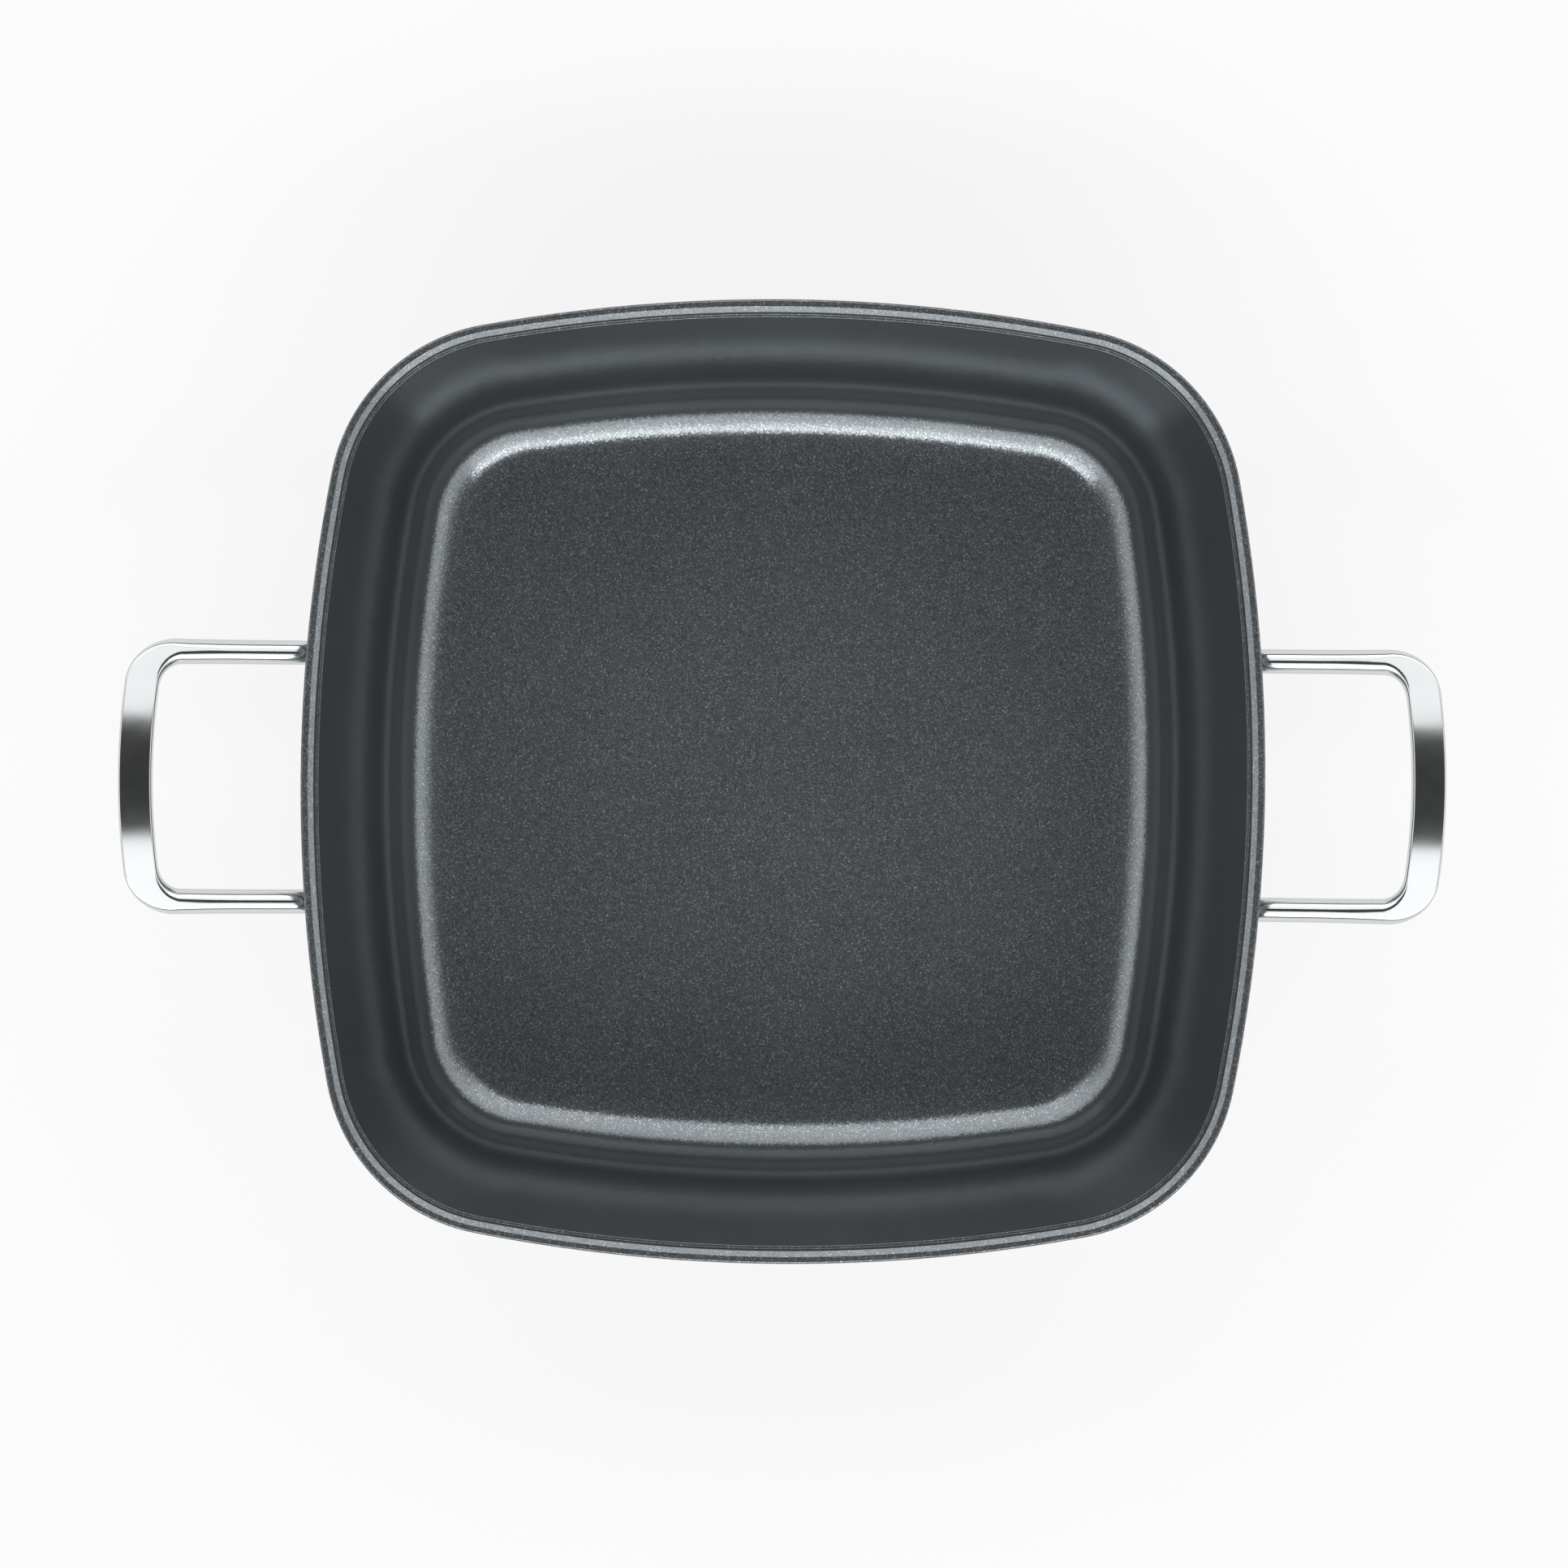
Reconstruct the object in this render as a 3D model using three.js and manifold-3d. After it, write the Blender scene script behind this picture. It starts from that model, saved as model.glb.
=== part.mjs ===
import * as THREE from 'three';
import { mergeVertices } from 'three/addons/utils/BufferGeometryUtils.js';
import Module from 'manifold-3d';

// Square cast-aluminium pan with two bent-bar steel handles, in millimetres.
// +Z is up, the origin is the middle of the underside and the handles lie along X.

// Pan outline at the rim and round the flat cooking floor: half width, bow of the sides, corners
const RIM_HALF = 142;
const RIM_SIDE_RADIUS = 482;
const RIM_CORNER_RADIUS = 54.7;
const FLOOR_HALF = 97.3;
const FLOOR_SIDE_RADIUS = 530;
const FLOOR_CORNER_RADIUS = 23;

// Pan section
const PAN_HEIGHT = 80;
const FLOOR_THICKNESS = 6;
const WALL_THICKNESS = 3.5;
const INNER_FILLET = 26.5;
const OUTER_FILLET = 26;

// Rim: flat top, bevel on its inner side and a step that a lid sits in
const RIM_EDGE_RADIUS = 0.8;
const RIM_FLAT = 2.1;
const RIM_BEVEL_WIDTH = 1.7;
const RIM_BEVEL_DROP = 1;
const RIM_BAND_HEIGHT = 4;
const RIM_BAND_TAPER = 1.5;
const LID_STEP_DROP = 1.6;
const LID_STEP_TAPER = 0.4;
const LID_LEDGE_WIDTH = 0.9;
const LID_LEDGE_FALL = 0.25;

// Steel sheet set flush in the underside
const SHEET_HALF = 88;
const SHEET_THICKNESS = 1.5;
const SHEET_CLEARANCE = 0.3;

// Handle bar: round arms, flattened grip and flattened feet
const HANDLE_REACH = 196;
const ARM_SPACING = 74;
const BAR_DIAMETER = 7.2;
const GRIP_WIDTH = 9.6;
const GRIP_THICKNESS = 5.6;
const GRIP_BOW_RADIUS = 250;
const GRIP_CORNER_RADIUS = 11;
const ARM_RISE_DEGREES = 10;
const ROOT_DROP = 18.5;
const ROOT_BEND_RADIUS = 7;
const FOOT_WIDTH = 13;
const FOOT_THICKNESS = 3.4;
const FOOT_SCREW_DROP = 17;

// Section powers of the bar: 2 is an ellipse, more is squarer
const BAR_POWER = 2;
const GRIP_POWER = 4.5;
const FOOT_POWER = 6;

// Bosses, screws and lock washers
const BOSS_DIAMETER = 15;
const BOSS_DRAFT = 0.6;
const BOSS_HEIGHT = 3;
const BLIND_WALL = 1.6;
const SCREW_DIAMETER = 5;
const SCREW_HEAD_DIAMETER = 9.5;
const SCREW_HEAD_HEIGHT = 2.75;
const SCREW_HEAD_RIM = 0.8;
const SOCKET_ACROSS_FLATS = 3;
const SOCKET_DEPTH = 1.5;
const WASHER_DIAMETER = 10;
const WASHER_THICKNESS = 1.2;
const WASHER_SLIT = 1;
const SHANK_CLEARANCE = 0.3;
const TIP_CLEARANCE = 0.4;
const SEAT_GAP = 0.3;

// Steps along round stretches
const SIDE_STEPS = 6;
const CORNER_STEPS = 10;
const FILLET_STEPS = 9;
const EDGE_STEPS = 3;
const BAR_SIDES = 20;
const GRIP_STEPS = 7;
const HANDLE_CORNER_STEPS = 8;
const BEND_STEPS = 6;
const FOOT_STEPS = 4;
const FOOT_END_STEPS = 5;
const DOME_STEPS = 4;
const ROUND_SIDES = 24;
const HEXAGON_SIDES = 6;

// How far a cutting solid runs past the face that it opens
const CUT_OVERRUN = 1;

const UP = new THREE.Vector3(0, 0, 1);
const LATHE_AXIS = new THREE.Vector3(0, 1, 0);
const QUARTER_TURN = Math.PI / 2;
const HALF_TURN = Math.PI;
const lerp = THREE.MathUtils.lerp;
const smooth = (part) => THREE.MathUtils.smoothstep(part, 0, 1);

const wasm = await Module();
wasm.setup();

// Rim and lid step, from the flat top inwards and down to the head of the wall
const bevelTop = { half: RIM_HALF - RIM_FLAT, z: PAN_HEIGHT };
const stepTop = { half: bevelTop.half - RIM_BEVEL_WIDTH, z: bevelTop.z - RIM_BEVEL_DROP };
const ledgeOuter = { half: stepTop.half - LID_STEP_TAPER, z: stepTop.z - LID_STEP_DROP };
const wallHead = { half: ledgeOuter.half - LID_LEDGE_WIDTH, z: ledgeOuter.z - LID_LEDGE_FALL };

// The inner wall is the line from its head that touches the inner fillet
const innerFillet = { half: FLOOR_HALF, z: FLOOR_THICKNESS + INNER_FILLET };
const headRun = wallHead.half - innerFillet.half;
const headRise = wallHead.z - innerFillet.z;
const wallLean = Math.acos(INNER_FILLET / Math.hypot(headRun, headRise)) - Math.atan2(headRise, headRun);
const wallNormal = new THREE.Vector3(Math.cos(wallLean), 0, -Math.sin(wallLean));
const filletTurn = QUARTER_TURN - wallLean;

// Half width of the pan's outside at a height on the wall, at mid-side
function outsideHalf(z) {
  const across = INNER_FILLET + WALL_THICKNESS + (z - innerFillet.z) * Math.sin(wallLean);
  return innerFillet.half + across / Math.cos(wallLean);
}

// A value that runs from the floor's outline to the rim's as the half width grows
function between(half, atFloor, atRim) {
  return lerp(atFloor, atRim, (half - FLOOR_HALF) / (RIM_HALF - FLOOR_HALF));
}

function sideRadius(half) {
  return between(half, FLOOR_SIDE_RADIUS, RIM_SIDE_RADIUS);
}

// Outside of the pan beside a handle foot, at a height and a distance from mid-side
function outsideAt(z, y) {
  const half = outsideHalf(z);
  const side = sideRadius(half);
  return half - side + Math.sqrt(side ** 2 - y ** 2);
}

// Bowed square at a height: four side arcs joined by four corner arcs that touch them
function panRing({ half, z }) {
  const side = sideRadius(half);
  const corner = between(half, FLOOR_CORNER_RADIUS, RIM_CORNER_RADIUS);
  const back = side - half;
  const cornerCentre = (Math.sqrt(2 * (side - corner) ** 2 - back ** 2) - back) / 2;
  const sideTurn = Math.atan2(cornerCentre, cornerCentre + back);
  const quarter = [];
  for (let i = 0; i < SIDE_STEPS; i += 1) {
    const angle = lerp(-sideTurn, sideTurn, i / SIDE_STEPS);
    quarter.push(new THREE.Vector3(side * Math.cos(angle) - back, side * Math.sin(angle), z));
  }
  for (let i = 0; i < CORNER_STEPS; i += 1) {
    const angle = lerp(sideTurn, QUARTER_TURN - sideTurn, i / CORNER_STEPS);
    const reach = new THREE.Vector3(Math.cos(angle), Math.sin(angle), 0).multiplyScalar(corner);
    quarter.push(reach.add(new THREE.Vector3(cornerCentre, cornerCentre, z)));
  }
  const turns = [0, QUARTER_TURN, HALF_TURN, HALF_TURN + QUARTER_TURN];
  return turns.flatMap((turn) => quarter.map((point) => point.clone().applyAxisAngle(UP, turn)));
}

// Points of an arc in the pan's section, by the tilt of its surface from level
function sectionArc(centre, radius, fromTilt, toTilt, steps) {
  return Array.from({ length: steps + 1 }, (unused, i) => {
    const tilt = lerp(fromTilt, toTilt, i / steps);
    return { half: centre.half + radius * Math.sin(tilt), z: centre.z - radius * Math.cos(tilt) };
  });
}

// Closed skin through rings of equal count, which run anticlockwise seen from the last one
function loft(rings) {
  const count = rings[0].length;
  const points = rings.flat();
  const triangles = [];
  for (let r = 0; r + 1 < rings.length; r += 1) {
    for (let i = 0; i < count; i += 1) {
      const next = (i + 1) % count;
      const low = r * count;
      const high = low + count;
      triangles.push(low + i, low + next, high + next, low + i, high + next, high + i);
    }
  }
  const middle = (ring) => ring.reduce((sum, p) => sum.add(p), new THREE.Vector3()).divideScalar(count);
  const last = (rings.length - 1) * count;
  points.push(middle(rings[0]), middle(rings.at(-1)));
  for (let i = 0; i < count; i += 1) {
    const next = (i + 1) % count;
    triangles.push(points.length - 2, next, i, points.length - 1, last + i, last + next);
  }
  const geometry = new THREE.BufferGeometry().setFromPoints(points);
  geometry.setIndex(triangles);
  return geometry;
}

// Geometry to solid: shared corners joined, triangles of no area left out
function solid(geometry) {
  const bare = geometry.clone();
  bare.deleteAttribute('normal');
  bare.deleteAttribute('uv');
  const joined = mergeVertices(bare);
  const corners = joined.index.array;
  const triangles = [];
  for (let i = 0; i < corners.length; i += 3) {
    const [a, b, c] = corners.slice(i, i + 3);
    if (a !== b && b !== c && c !== a) {
      triangles.push(a, b, c);
    }
  }
  const vertProperties = new Float32Array(joined.attributes.position.array);
  const triVerts = new Uint32Array(triangles);
  return new wasm.Manifold(new wasm.Mesh({ numProp: 3, vertProperties, triVerts }));
}

function geometryOf(body) {
  const { vertProperties, triVerts } = body.getMesh();
  const geometry = new THREE.BufferGeometry();
  geometry.setAttribute('position', new THREE.BufferAttribute(vertProperties, 3));
  geometry.setIndex(new THREE.BufferAttribute(triVerts, 1));
  geometry.computeVertexNormals();
  return geometry;
}

// Round bar along the lathe axis between two heights
function roundBar(topRadius, bottomRadius, bottom, top, sides = ROUND_SIDES) {
  const bar = new THREE.CylinderGeometry(topRadius, bottomRadius, top - bottom, sides);
  return bar.translate(0, (top + bottom) / 2, 0);
}

// Stack on each screw, outwards from the pan's wall along the wall's normal
const footBack = BOSS_HEIGHT + SEAT_GAP;
const footMiddle = footBack + FOOT_THICKNESS / 2;
const washerBack = footBack + FOOT_THICKNESS + SEAT_GAP;
const headBack = washerBack + WASHER_THICKNESS + SEAT_GAP;
const holeEnd = BLIND_WALL - WALL_THICKNESS;
const boreRadius = SCREW_DIAMETER / 2 + SHANK_CLEARANCE;

// Root of the right handle: where the arm's axis meets the line of the foot, and the wall behind the screw
const armOffset = ARM_SPACING / 2;
const armRise = THREE.MathUtils.degToRad(ARM_RISE_DEGREES);
const footLine = new THREE.Vector3(-Math.sin(wallLean), 0, -Math.cos(wallLean));
const screwWall = new THREE.Vector3(0, 0, PAN_HEIGHT - ROOT_DROP);
screwWall.addScaledVector(footLine, FOOT_SCREW_DROP).addScaledVector(wallNormal, -footMiddle);
screwWall.setX(outsideAt(screwWall.z, armOffset));
const root = screwWall.clone().addScaledVector(wallNormal, footMiddle);
root.addScaledVector(footLine, -FOOT_SCREW_DROP);

// The four screw seats: the side of the pan that each is on and its arm's offset on that side
const SIDES = [{ side: 'right', turn: 0 }, { side: 'left', turn: HALF_TURN }];
const ARMS = [-armOffset, armOffset];

// Frame of a screw seat on the right side, with the lathe axis along the wall's normal
function seatFrame(y) {
  const frame = new THREE.Group();
  frame.position.set(screwWall.x, y, screwWall.z);
  frame.quaternion.setFromUnitVectors(LATHE_AXIS, wallNormal);
  return frame;
}

// A solid set on each of the four seats in turn
function onSeats(geometry) {
  return SIDES.flatMap(({ turn }) => ARMS.map((y) => {
    const frame = seatFrame(y);
    frame.updateMatrix();
    return solid(geometry.clone().applyMatrix4(frame.matrix).rotateZ(turn));
  }));
}

// Pan casting: outer form with its bosses, less the inside, the screw holes and the recess underneath
function panBody() {
  const across = INNER_FILLET + WALL_THICKNESS - OUTER_FILLET;
  const sunk = (OUTER_FILLET - innerFillet.z) * Math.sin(wallLean);
  const outerFillet = { half: innerFillet.half + (across + sunk) / Math.cos(wallLean), z: OUTER_FILLET };
  const bandFoot = PAN_HEIGHT - RIM_BAND_HEIGHT;
  const taperFoot = bandFoot - RIM_BAND_TAPER;
  const edge = { half: RIM_HALF - RIM_EDGE_RADIUS, z: PAN_HEIGHT - RIM_EDGE_RADIUS };
  const outer = [
    ...sectionArc(outerFillet, OUTER_FILLET, 0, filletTurn, FILLET_STEPS),
    { half: outsideHalf(taperFoot), z: taperFoot },
    { half: RIM_HALF, z: bandFoot },
    ...sectionArc(edge, RIM_EDGE_RADIUS, QUARTER_TURN, HALF_TURN, EDGE_STEPS),
  ];
  const inner = [
    ...sectionArc(innerFillet, INNER_FILLET, 0, filletTurn, FILLET_STEPS),
    wallHead,
    ledgeOuter,
    stepTop,
    bevelTop,
    { half: bevelTop.half, z: PAN_HEIGHT + CUT_OVERRUN },
  ];
  const recessHalf = SHEET_HALF + SHEET_CLEARANCE;
  const recess = [{ half: recessHalf, z: -CUT_OVERRUN }, { half: recessHalf, z: SHEET_THICKNESS }];
  const bossRadius = BOSS_DIAMETER / 2;
  const boss = roundBar(bossRadius, bossRadius + BOSS_DRAFT, -2 * WALL_THICKNESS, BOSS_HEIGHT);
  const hole = roundBar(boreRadius, boreRadius, holeEnd, BOSS_HEIGHT + CUT_OVERRUN);
  let body = solid(loft(outer.map(panRing)));
  for (const part of onSeats(boss)) {
    body = body.add(part);
  }
  body = body.subtract(solid(loft(inner.map(panRing))));
  for (const part of onSeats(hole)) {
    body = body.subtract(part);
  }
  return geometryOf(body.subtract(solid(loft(recess.map(panRing)))));
}

// Magnetic steel sheet in the underside, with the pan's own outline
function inductionBase() {
  const sheet = [{ half: SHEET_HALF, z: 0 }, { half: SHEET_HALF, z: SHEET_THICKNESS }];
  return geometryOf(solid(loft(sheet.map(panRing))));
}

// Sections of the handle bar
const GRIP_SECTION = { width: GRIP_WIDTH, thickness: GRIP_THICKNESS, power: GRIP_POWER };
const BAR_SECTION = { width: BAR_DIAMETER, thickness: BAR_DIAMETER, power: BAR_POWER };
const FOOT_SECTION = { width: FOOT_WIDTH, thickness: FOOT_THICKNESS, power: FOOT_POWER };

function blend(from, to, part) {
  const share = smooth(part);
  return {
    width: lerp(from.width, to.width, share),
    thickness: lerp(from.thickness, to.thickness, share),
    power: lerp(from.power, to.power, share),
  };
}

// Half of the right handle's axis, from the middle of the grip round to the end of one foot.
// Each station has its place, its heading in plan, its pitch and the bar's section there.
function halfHandle() {
  const stations = [];
  const gripX = HANDLE_REACH - GRIP_WIDTH / 2;
  const bowCentre = gripX - GRIP_BOW_RADIUS;
  const cornerY = armOffset - GRIP_CORNER_RADIUS;
  const cornerReach = GRIP_BOW_RADIUS - GRIP_CORNER_RADIUS;
  const cornerX = bowCentre + Math.sqrt(cornerReach ** 2 - cornerY ** 2);
  const bowTurn = Math.asin(cornerY / cornerReach);
  const gripLength = GRIP_BOW_RADIUS * bowTurn;
  const archRadius = gripLength / Math.sin(armRise);
  const cornerLength = GRIP_CORNER_RADIUS * (QUARTER_TURN - bowTurn);
  const slope = Math.tan(armRise);
  const cornerEnd = root.z + (cornerX - root.x) * slope;
  const gripEnd = cornerEnd + cornerLength * slope;
  const archFoot = gripEnd - archRadius * Math.cos(armRise);

  for (let i = 0; i <= GRIP_STEPS; i += 1) {
    const angle = bowTurn * i / GRIP_STEPS;
    const pitch = -Math.asin(GRIP_BOW_RADIUS * angle / archRadius);
    const x = bowCentre + GRIP_BOW_RADIUS * Math.cos(angle);
    const y = GRIP_BOW_RADIUS * Math.sin(angle);
    const z = archFoot + archRadius * Math.cos(pitch);
    stations.push({ at: new THREE.Vector3(x, y, z), heading: angle + QUARTER_TURN, pitch, section: GRIP_SECTION });
  }
  for (let i = 1; i <= HANDLE_CORNER_STEPS; i += 1) {
    const part = i / HANDLE_CORNER_STEPS;
    const angle = lerp(bowTurn, QUARTER_TURN, part);
    const x = cornerX + GRIP_CORNER_RADIUS * Math.cos(angle);
    const y = cornerY + GRIP_CORNER_RADIUS * Math.sin(angle);
    const at = new THREE.Vector3(x, y, lerp(gripEnd, cornerEnd, part));
    const section = blend(GRIP_SECTION, BAR_SECTION, part);
    stations.push({ at, heading: angle + QUARTER_TURN, pitch: -armRise, section });
  }

  // The arm runs straight to the bend at its root, and the foot runs straight down from there
  const bendTurn = filletTurn - armRise;
  const tangent = ROOT_BEND_RADIUS * Math.tan(bendTurn / 2);
  const bendMiddle = ROOT_BEND_RADIUS * bendTurn / 2;
  const flatStart = FOOT_SCREW_DROP - BOSS_DIAMETER / 2 - BOSS_DRAFT;
  const flattening = bendMiddle + flatStart - tangent;
  const bendCentre = root.clone().setY(armOffset);
  bendCentre.x += tangent * Math.cos(armRise) + ROOT_BEND_RADIUS * Math.sin(armRise);
  bendCentre.z += tangent * Math.sin(armRise) - ROOT_BEND_RADIUS * Math.cos(armRise);
  for (let i = 0; i <= BEND_STEPS; i += 1) {
    const part = i / BEND_STEPS;
    const pitch = -lerp(armRise, filletTurn, part);
    const lift = new THREE.Vector3(Math.sin(pitch), 0, Math.cos(pitch)).multiplyScalar(ROOT_BEND_RADIUS);
    const pastMiddle = Math.max(0, (2 * part - 1) * bendMiddle);
    const section = blend(BAR_SECTION, FOOT_SECTION, pastMiddle / flattening);
    stations.push({ at: lift.add(bendCentre), heading: HALF_TURN, pitch, section });
  }
  const footAt = (drop) => root.clone().setY(armOffset).addScaledVector(footLine, drop);
  for (let i = 1; i <= FOOT_STEPS; i += 1) {
    const part = i / FOOT_STEPS;
    const section = blend(BAR_SECTION, FOOT_SECTION, lerp(bendMiddle / flattening, 1, part));
    const at = footAt(lerp(tangent, flatStart, part));
    stations.push({ at, heading: HALF_TURN, pitch: -filletTurn, section });
  }

  // The foot's end is round about the screw, down to a narrow flat
  const endRadius = FOOT_WIDTH / 2;
  for (let i = 0; i <= FOOT_END_STEPS; i += 1) {
    const angle = QUARTER_TURN * i / (FOOT_END_STEPS + 1);
    const section = { ...FOOT_SECTION, width: FOOT_WIDTH * Math.cos(angle) };
    const at = footAt(FOOT_SCREW_DROP + endRadius * Math.sin(angle));
    stations.push({ at, heading: HALF_TURN, pitch: -filletTurn, section });
  }
  return stations;
}

// The same station on the other arm, for an axis that runs towards the middle of the grip
function mirrored({ at, heading, pitch, section }) {
  const place = new THREE.Vector3(at.x, -at.y, at.z);
  return { at: place, heading: HALF_TURN - heading, pitch: -pitch, section };
}

// Ring of the bar's section square to its axis
function barRing({ at, heading, pitch, section }) {
  const across = new THREE.Vector3(-Math.sin(heading), Math.cos(heading), 0);
  const lift = new THREE.Vector3(
    -Math.sin(pitch) * Math.cos(heading),
    -Math.sin(pitch) * Math.sin(heading),
    Math.cos(pitch),
  );
  const bulge = (value) => Math.sign(value) * Math.abs(value) ** (2 / section.power);
  return Array.from({ length: BAR_SIDES }, (unused, i) => {
    const angle = 2 * HALF_TURN * i / BAR_SIDES;
    const point = at.clone().addScaledVector(across, bulge(Math.cos(angle)) * section.width / 2);
    return point.addScaledVector(lift, bulge(Math.sin(angle)) * section.thickness / 2);
  });
}

// Handle: one bar from foot to foot, drilled for its two screws
function handle() {
  const half = halfHandle();
  const stations = [...half.slice(1).reverse().map(mirrored), ...half];
  const hole = roundBar(boreRadius, boreRadius, footBack - CUT_OVERRUN, washerBack + CUT_OVERRUN);
  let body = solid(loft(stations.map(barRing)));
  for (const y of ARMS) {
    const frame = seatFrame(y);
    frame.updateMatrix();
    body = body.subtract(solid(hole.clone().applyMatrix4(frame.matrix)));
  }
  return geometryOf(body);
}

// Button-head screw with a hexagon socket, standing on the underside of its head
function screw() {
  const tip = holeEnd + TIP_CLEARANCE - headBack;
  const headRadius = SCREW_HEAD_DIAMETER / 2;
  const domeHeight = SCREW_HEAD_HEIGHT - SCREW_HEAD_RIM;
  const socketRadius = SOCKET_ACROSS_FLATS / 2 / Math.cos(HALF_TURN / HEXAGON_SIDES);
  const profile = [
    new THREE.Vector2(0, tip),
    new THREE.Vector2(SCREW_DIAMETER / 2, tip),
    new THREE.Vector2(SCREW_DIAMETER / 2, 0),
    new THREE.Vector2(headRadius, 0),
  ];
  const topRadius = socketRadius + SCREW_HEAD_RIM;
  for (let i = 0; i <= DOME_STEPS; i += 1) {
    const angle = QUARTER_TURN * i / DOME_STEPS;
    const radius = lerp(topRadius, headRadius, Math.cos(angle));
    profile.push(new THREE.Vector2(radius, SCREW_HEAD_RIM + domeHeight * Math.sin(angle)));
  }
  profile.push(new THREE.Vector2(0, SCREW_HEAD_HEIGHT));
  const socketFloor = SCREW_HEAD_HEIGHT - SOCKET_DEPTH;
  const socketTop = SCREW_HEAD_HEIGHT + CUT_OVERRUN;
  const socket = roundBar(socketRadius, socketRadius, socketFloor, socketTop, HEXAGON_SIDES);
  return geometryOf(solid(new THREE.LatheGeometry(profile, ROUND_SIDES)).subtract(solid(socket)));
}

// Split spring washer
function lockWasher() {
  const ring = new THREE.LatheGeometry([
    new THREE.Vector2(boreRadius, 0),
    new THREE.Vector2(WASHER_DIAMETER / 2, 0),
    new THREE.Vector2(WASHER_DIAMETER / 2, WASHER_THICKNESS),
    new THREE.Vector2(boreRadius, WASHER_THICKNESS),
    new THREE.Vector2(boreRadius, 0),
  ], ROUND_SIDES);
  const slit = new THREE.BoxGeometry(WASHER_DIAMETER, WASHER_THICKNESS + 2 * CUT_OVERRUN, WASHER_SLIT);
  slit.translate(WASHER_DIAMETER / 2, WASHER_THICKNESS / 2, 0);
  return geometryOf(solid(ring).subtract(solid(slit)));
}

const COATING = new THREE.MeshStandardMaterial({ color: 0x3d4144, roughness: 0.3, metalness: 0.1 });
const POLISHED_STEEL = new THREE.MeshStandardMaterial({ color: 0xc9cbcc, roughness: 0.15, metalness: 1 });
const BRUSHED_STEEL = new THREE.MeshStandardMaterial({ color: 0xb4b6b8, roughness: 0.35, metalness: 1 });
const SCREW_STEEL = new THREE.MeshStandardMaterial({ color: 0xa9abad, roughness: 0.3, metalness: 1 });
const SPRING_STEEL = new THREE.MeshStandardMaterial({ color: 0x8d9093, roughness: 0.4, metalness: 1 });

function piece(name, geometry, material) {
  const mesh = new THREE.Mesh(geometry, material);
  mesh.name = name;
  return mesh;
}

const pan = new THREE.Group();
pan.add(piece('pan_body', panBody(), COATING));
pan.add(piece('induction_base', inductionBase(), BRUSHED_STEEL));

const handleGeometry = handle();
const screwGeometry = screw();
const washerGeometry = lockWasher();
for (const { side, turn } of SIDES) {
  const assembly = new THREE.Group();
  assembly.rotation.z = turn;
  assembly.add(piece(`handle_${side}`, handleGeometry, POLISHED_STEEL));
  for (const y of ARMS) {
    const end = y * Math.cos(turn) < 0 ? 'front' : 'back';
    const frame = seatFrame(y);
    const washer = piece(`lock_washer_${side}_${end}`, washerGeometry, SPRING_STEEL);
    washer.position.y = washerBack;
    const bolt = piece(`screw_${side}_${end}`, screwGeometry, SCREW_STEEL);
    bolt.position.y = headBack;
    frame.add(washer, bolt);
    assembly.add(frame);
  }
  pan.add(assembly);
}

export default pan;
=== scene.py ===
"""Looks of a square cast pan with two bent-bar steel handles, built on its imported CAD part.

Sizes are in metres where their names give no other unit. The pan's axis is Z, the handles lie along X
and the table is at Z = 0.
"""

import logging
import math
from collections.abc import Callable, Sequence
from dataclasses import dataclass, replace
from enum import Enum
from functools import partial

import bmesh
import bpy
from mathutils import Euler, Matrix, Vector

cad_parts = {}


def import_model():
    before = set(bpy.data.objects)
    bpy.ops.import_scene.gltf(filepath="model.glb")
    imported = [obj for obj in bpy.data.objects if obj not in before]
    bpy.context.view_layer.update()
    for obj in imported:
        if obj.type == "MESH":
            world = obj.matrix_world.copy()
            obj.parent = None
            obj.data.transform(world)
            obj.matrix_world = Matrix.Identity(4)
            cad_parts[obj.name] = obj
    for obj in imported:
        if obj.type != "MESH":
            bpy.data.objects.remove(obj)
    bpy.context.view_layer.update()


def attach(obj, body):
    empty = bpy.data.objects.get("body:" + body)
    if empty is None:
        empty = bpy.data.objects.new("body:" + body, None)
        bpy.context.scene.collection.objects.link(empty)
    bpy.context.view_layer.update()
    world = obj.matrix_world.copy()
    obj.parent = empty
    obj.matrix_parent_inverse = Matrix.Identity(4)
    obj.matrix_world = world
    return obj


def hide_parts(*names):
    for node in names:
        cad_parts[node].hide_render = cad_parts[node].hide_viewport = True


log = logging.getLogger("pan")

BODY = "root"
QUARTER_TURN = math.pi / 2
HALF_TURN = math.pi
FULL_TURN = 2 * math.pi
ORIGIN = (0.0, 0.0, 0.0)
UP = (0.0, 0.0, 1.0)
IN_PLAN = (1.0, 1.0, 0.0)
MID_GREY = (0.5, 0.5, 0.5)
WELD = 1e-6
SMOOTH_ANGLE = math.radians(30)
ROUND_PROFILE = 0.5
FEWEST_STEPS = 2
OTHER_QUARTERS = 3
MACHINED_SLOT = 1

# Numbers of the Mix node's sockets for colours
MIX_FIRST = 6
MIX_SECOND = 7
MIX_RESULT = 2

AddNode = Callable[..., bpy.types.Node]


class Slot(Enum):
    """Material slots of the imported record."""

    COATING = "coated_aluminium"
    HANDLE = "polished_steel"
    BASE = "base_steel"
    SCREW = "screw_steel"
    WASHER = "spring_steel"


class Side(Enum):
    """Sides of the pan that carry a handle, by the turn about Z that takes the right side there."""

    right = 0.0
    left = HALF_TURN


def lerp(start: float, end: float, part: float) -> float:
    """Value at a part of the way from start to end."""
    return start + (end - start) * part


def smoothstep(part: float) -> float:
    """Eased part of the way, level at both ends."""
    part = min(max(part, 0.0), 1.0)
    return part * part * (3 - 2 * part)


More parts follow.
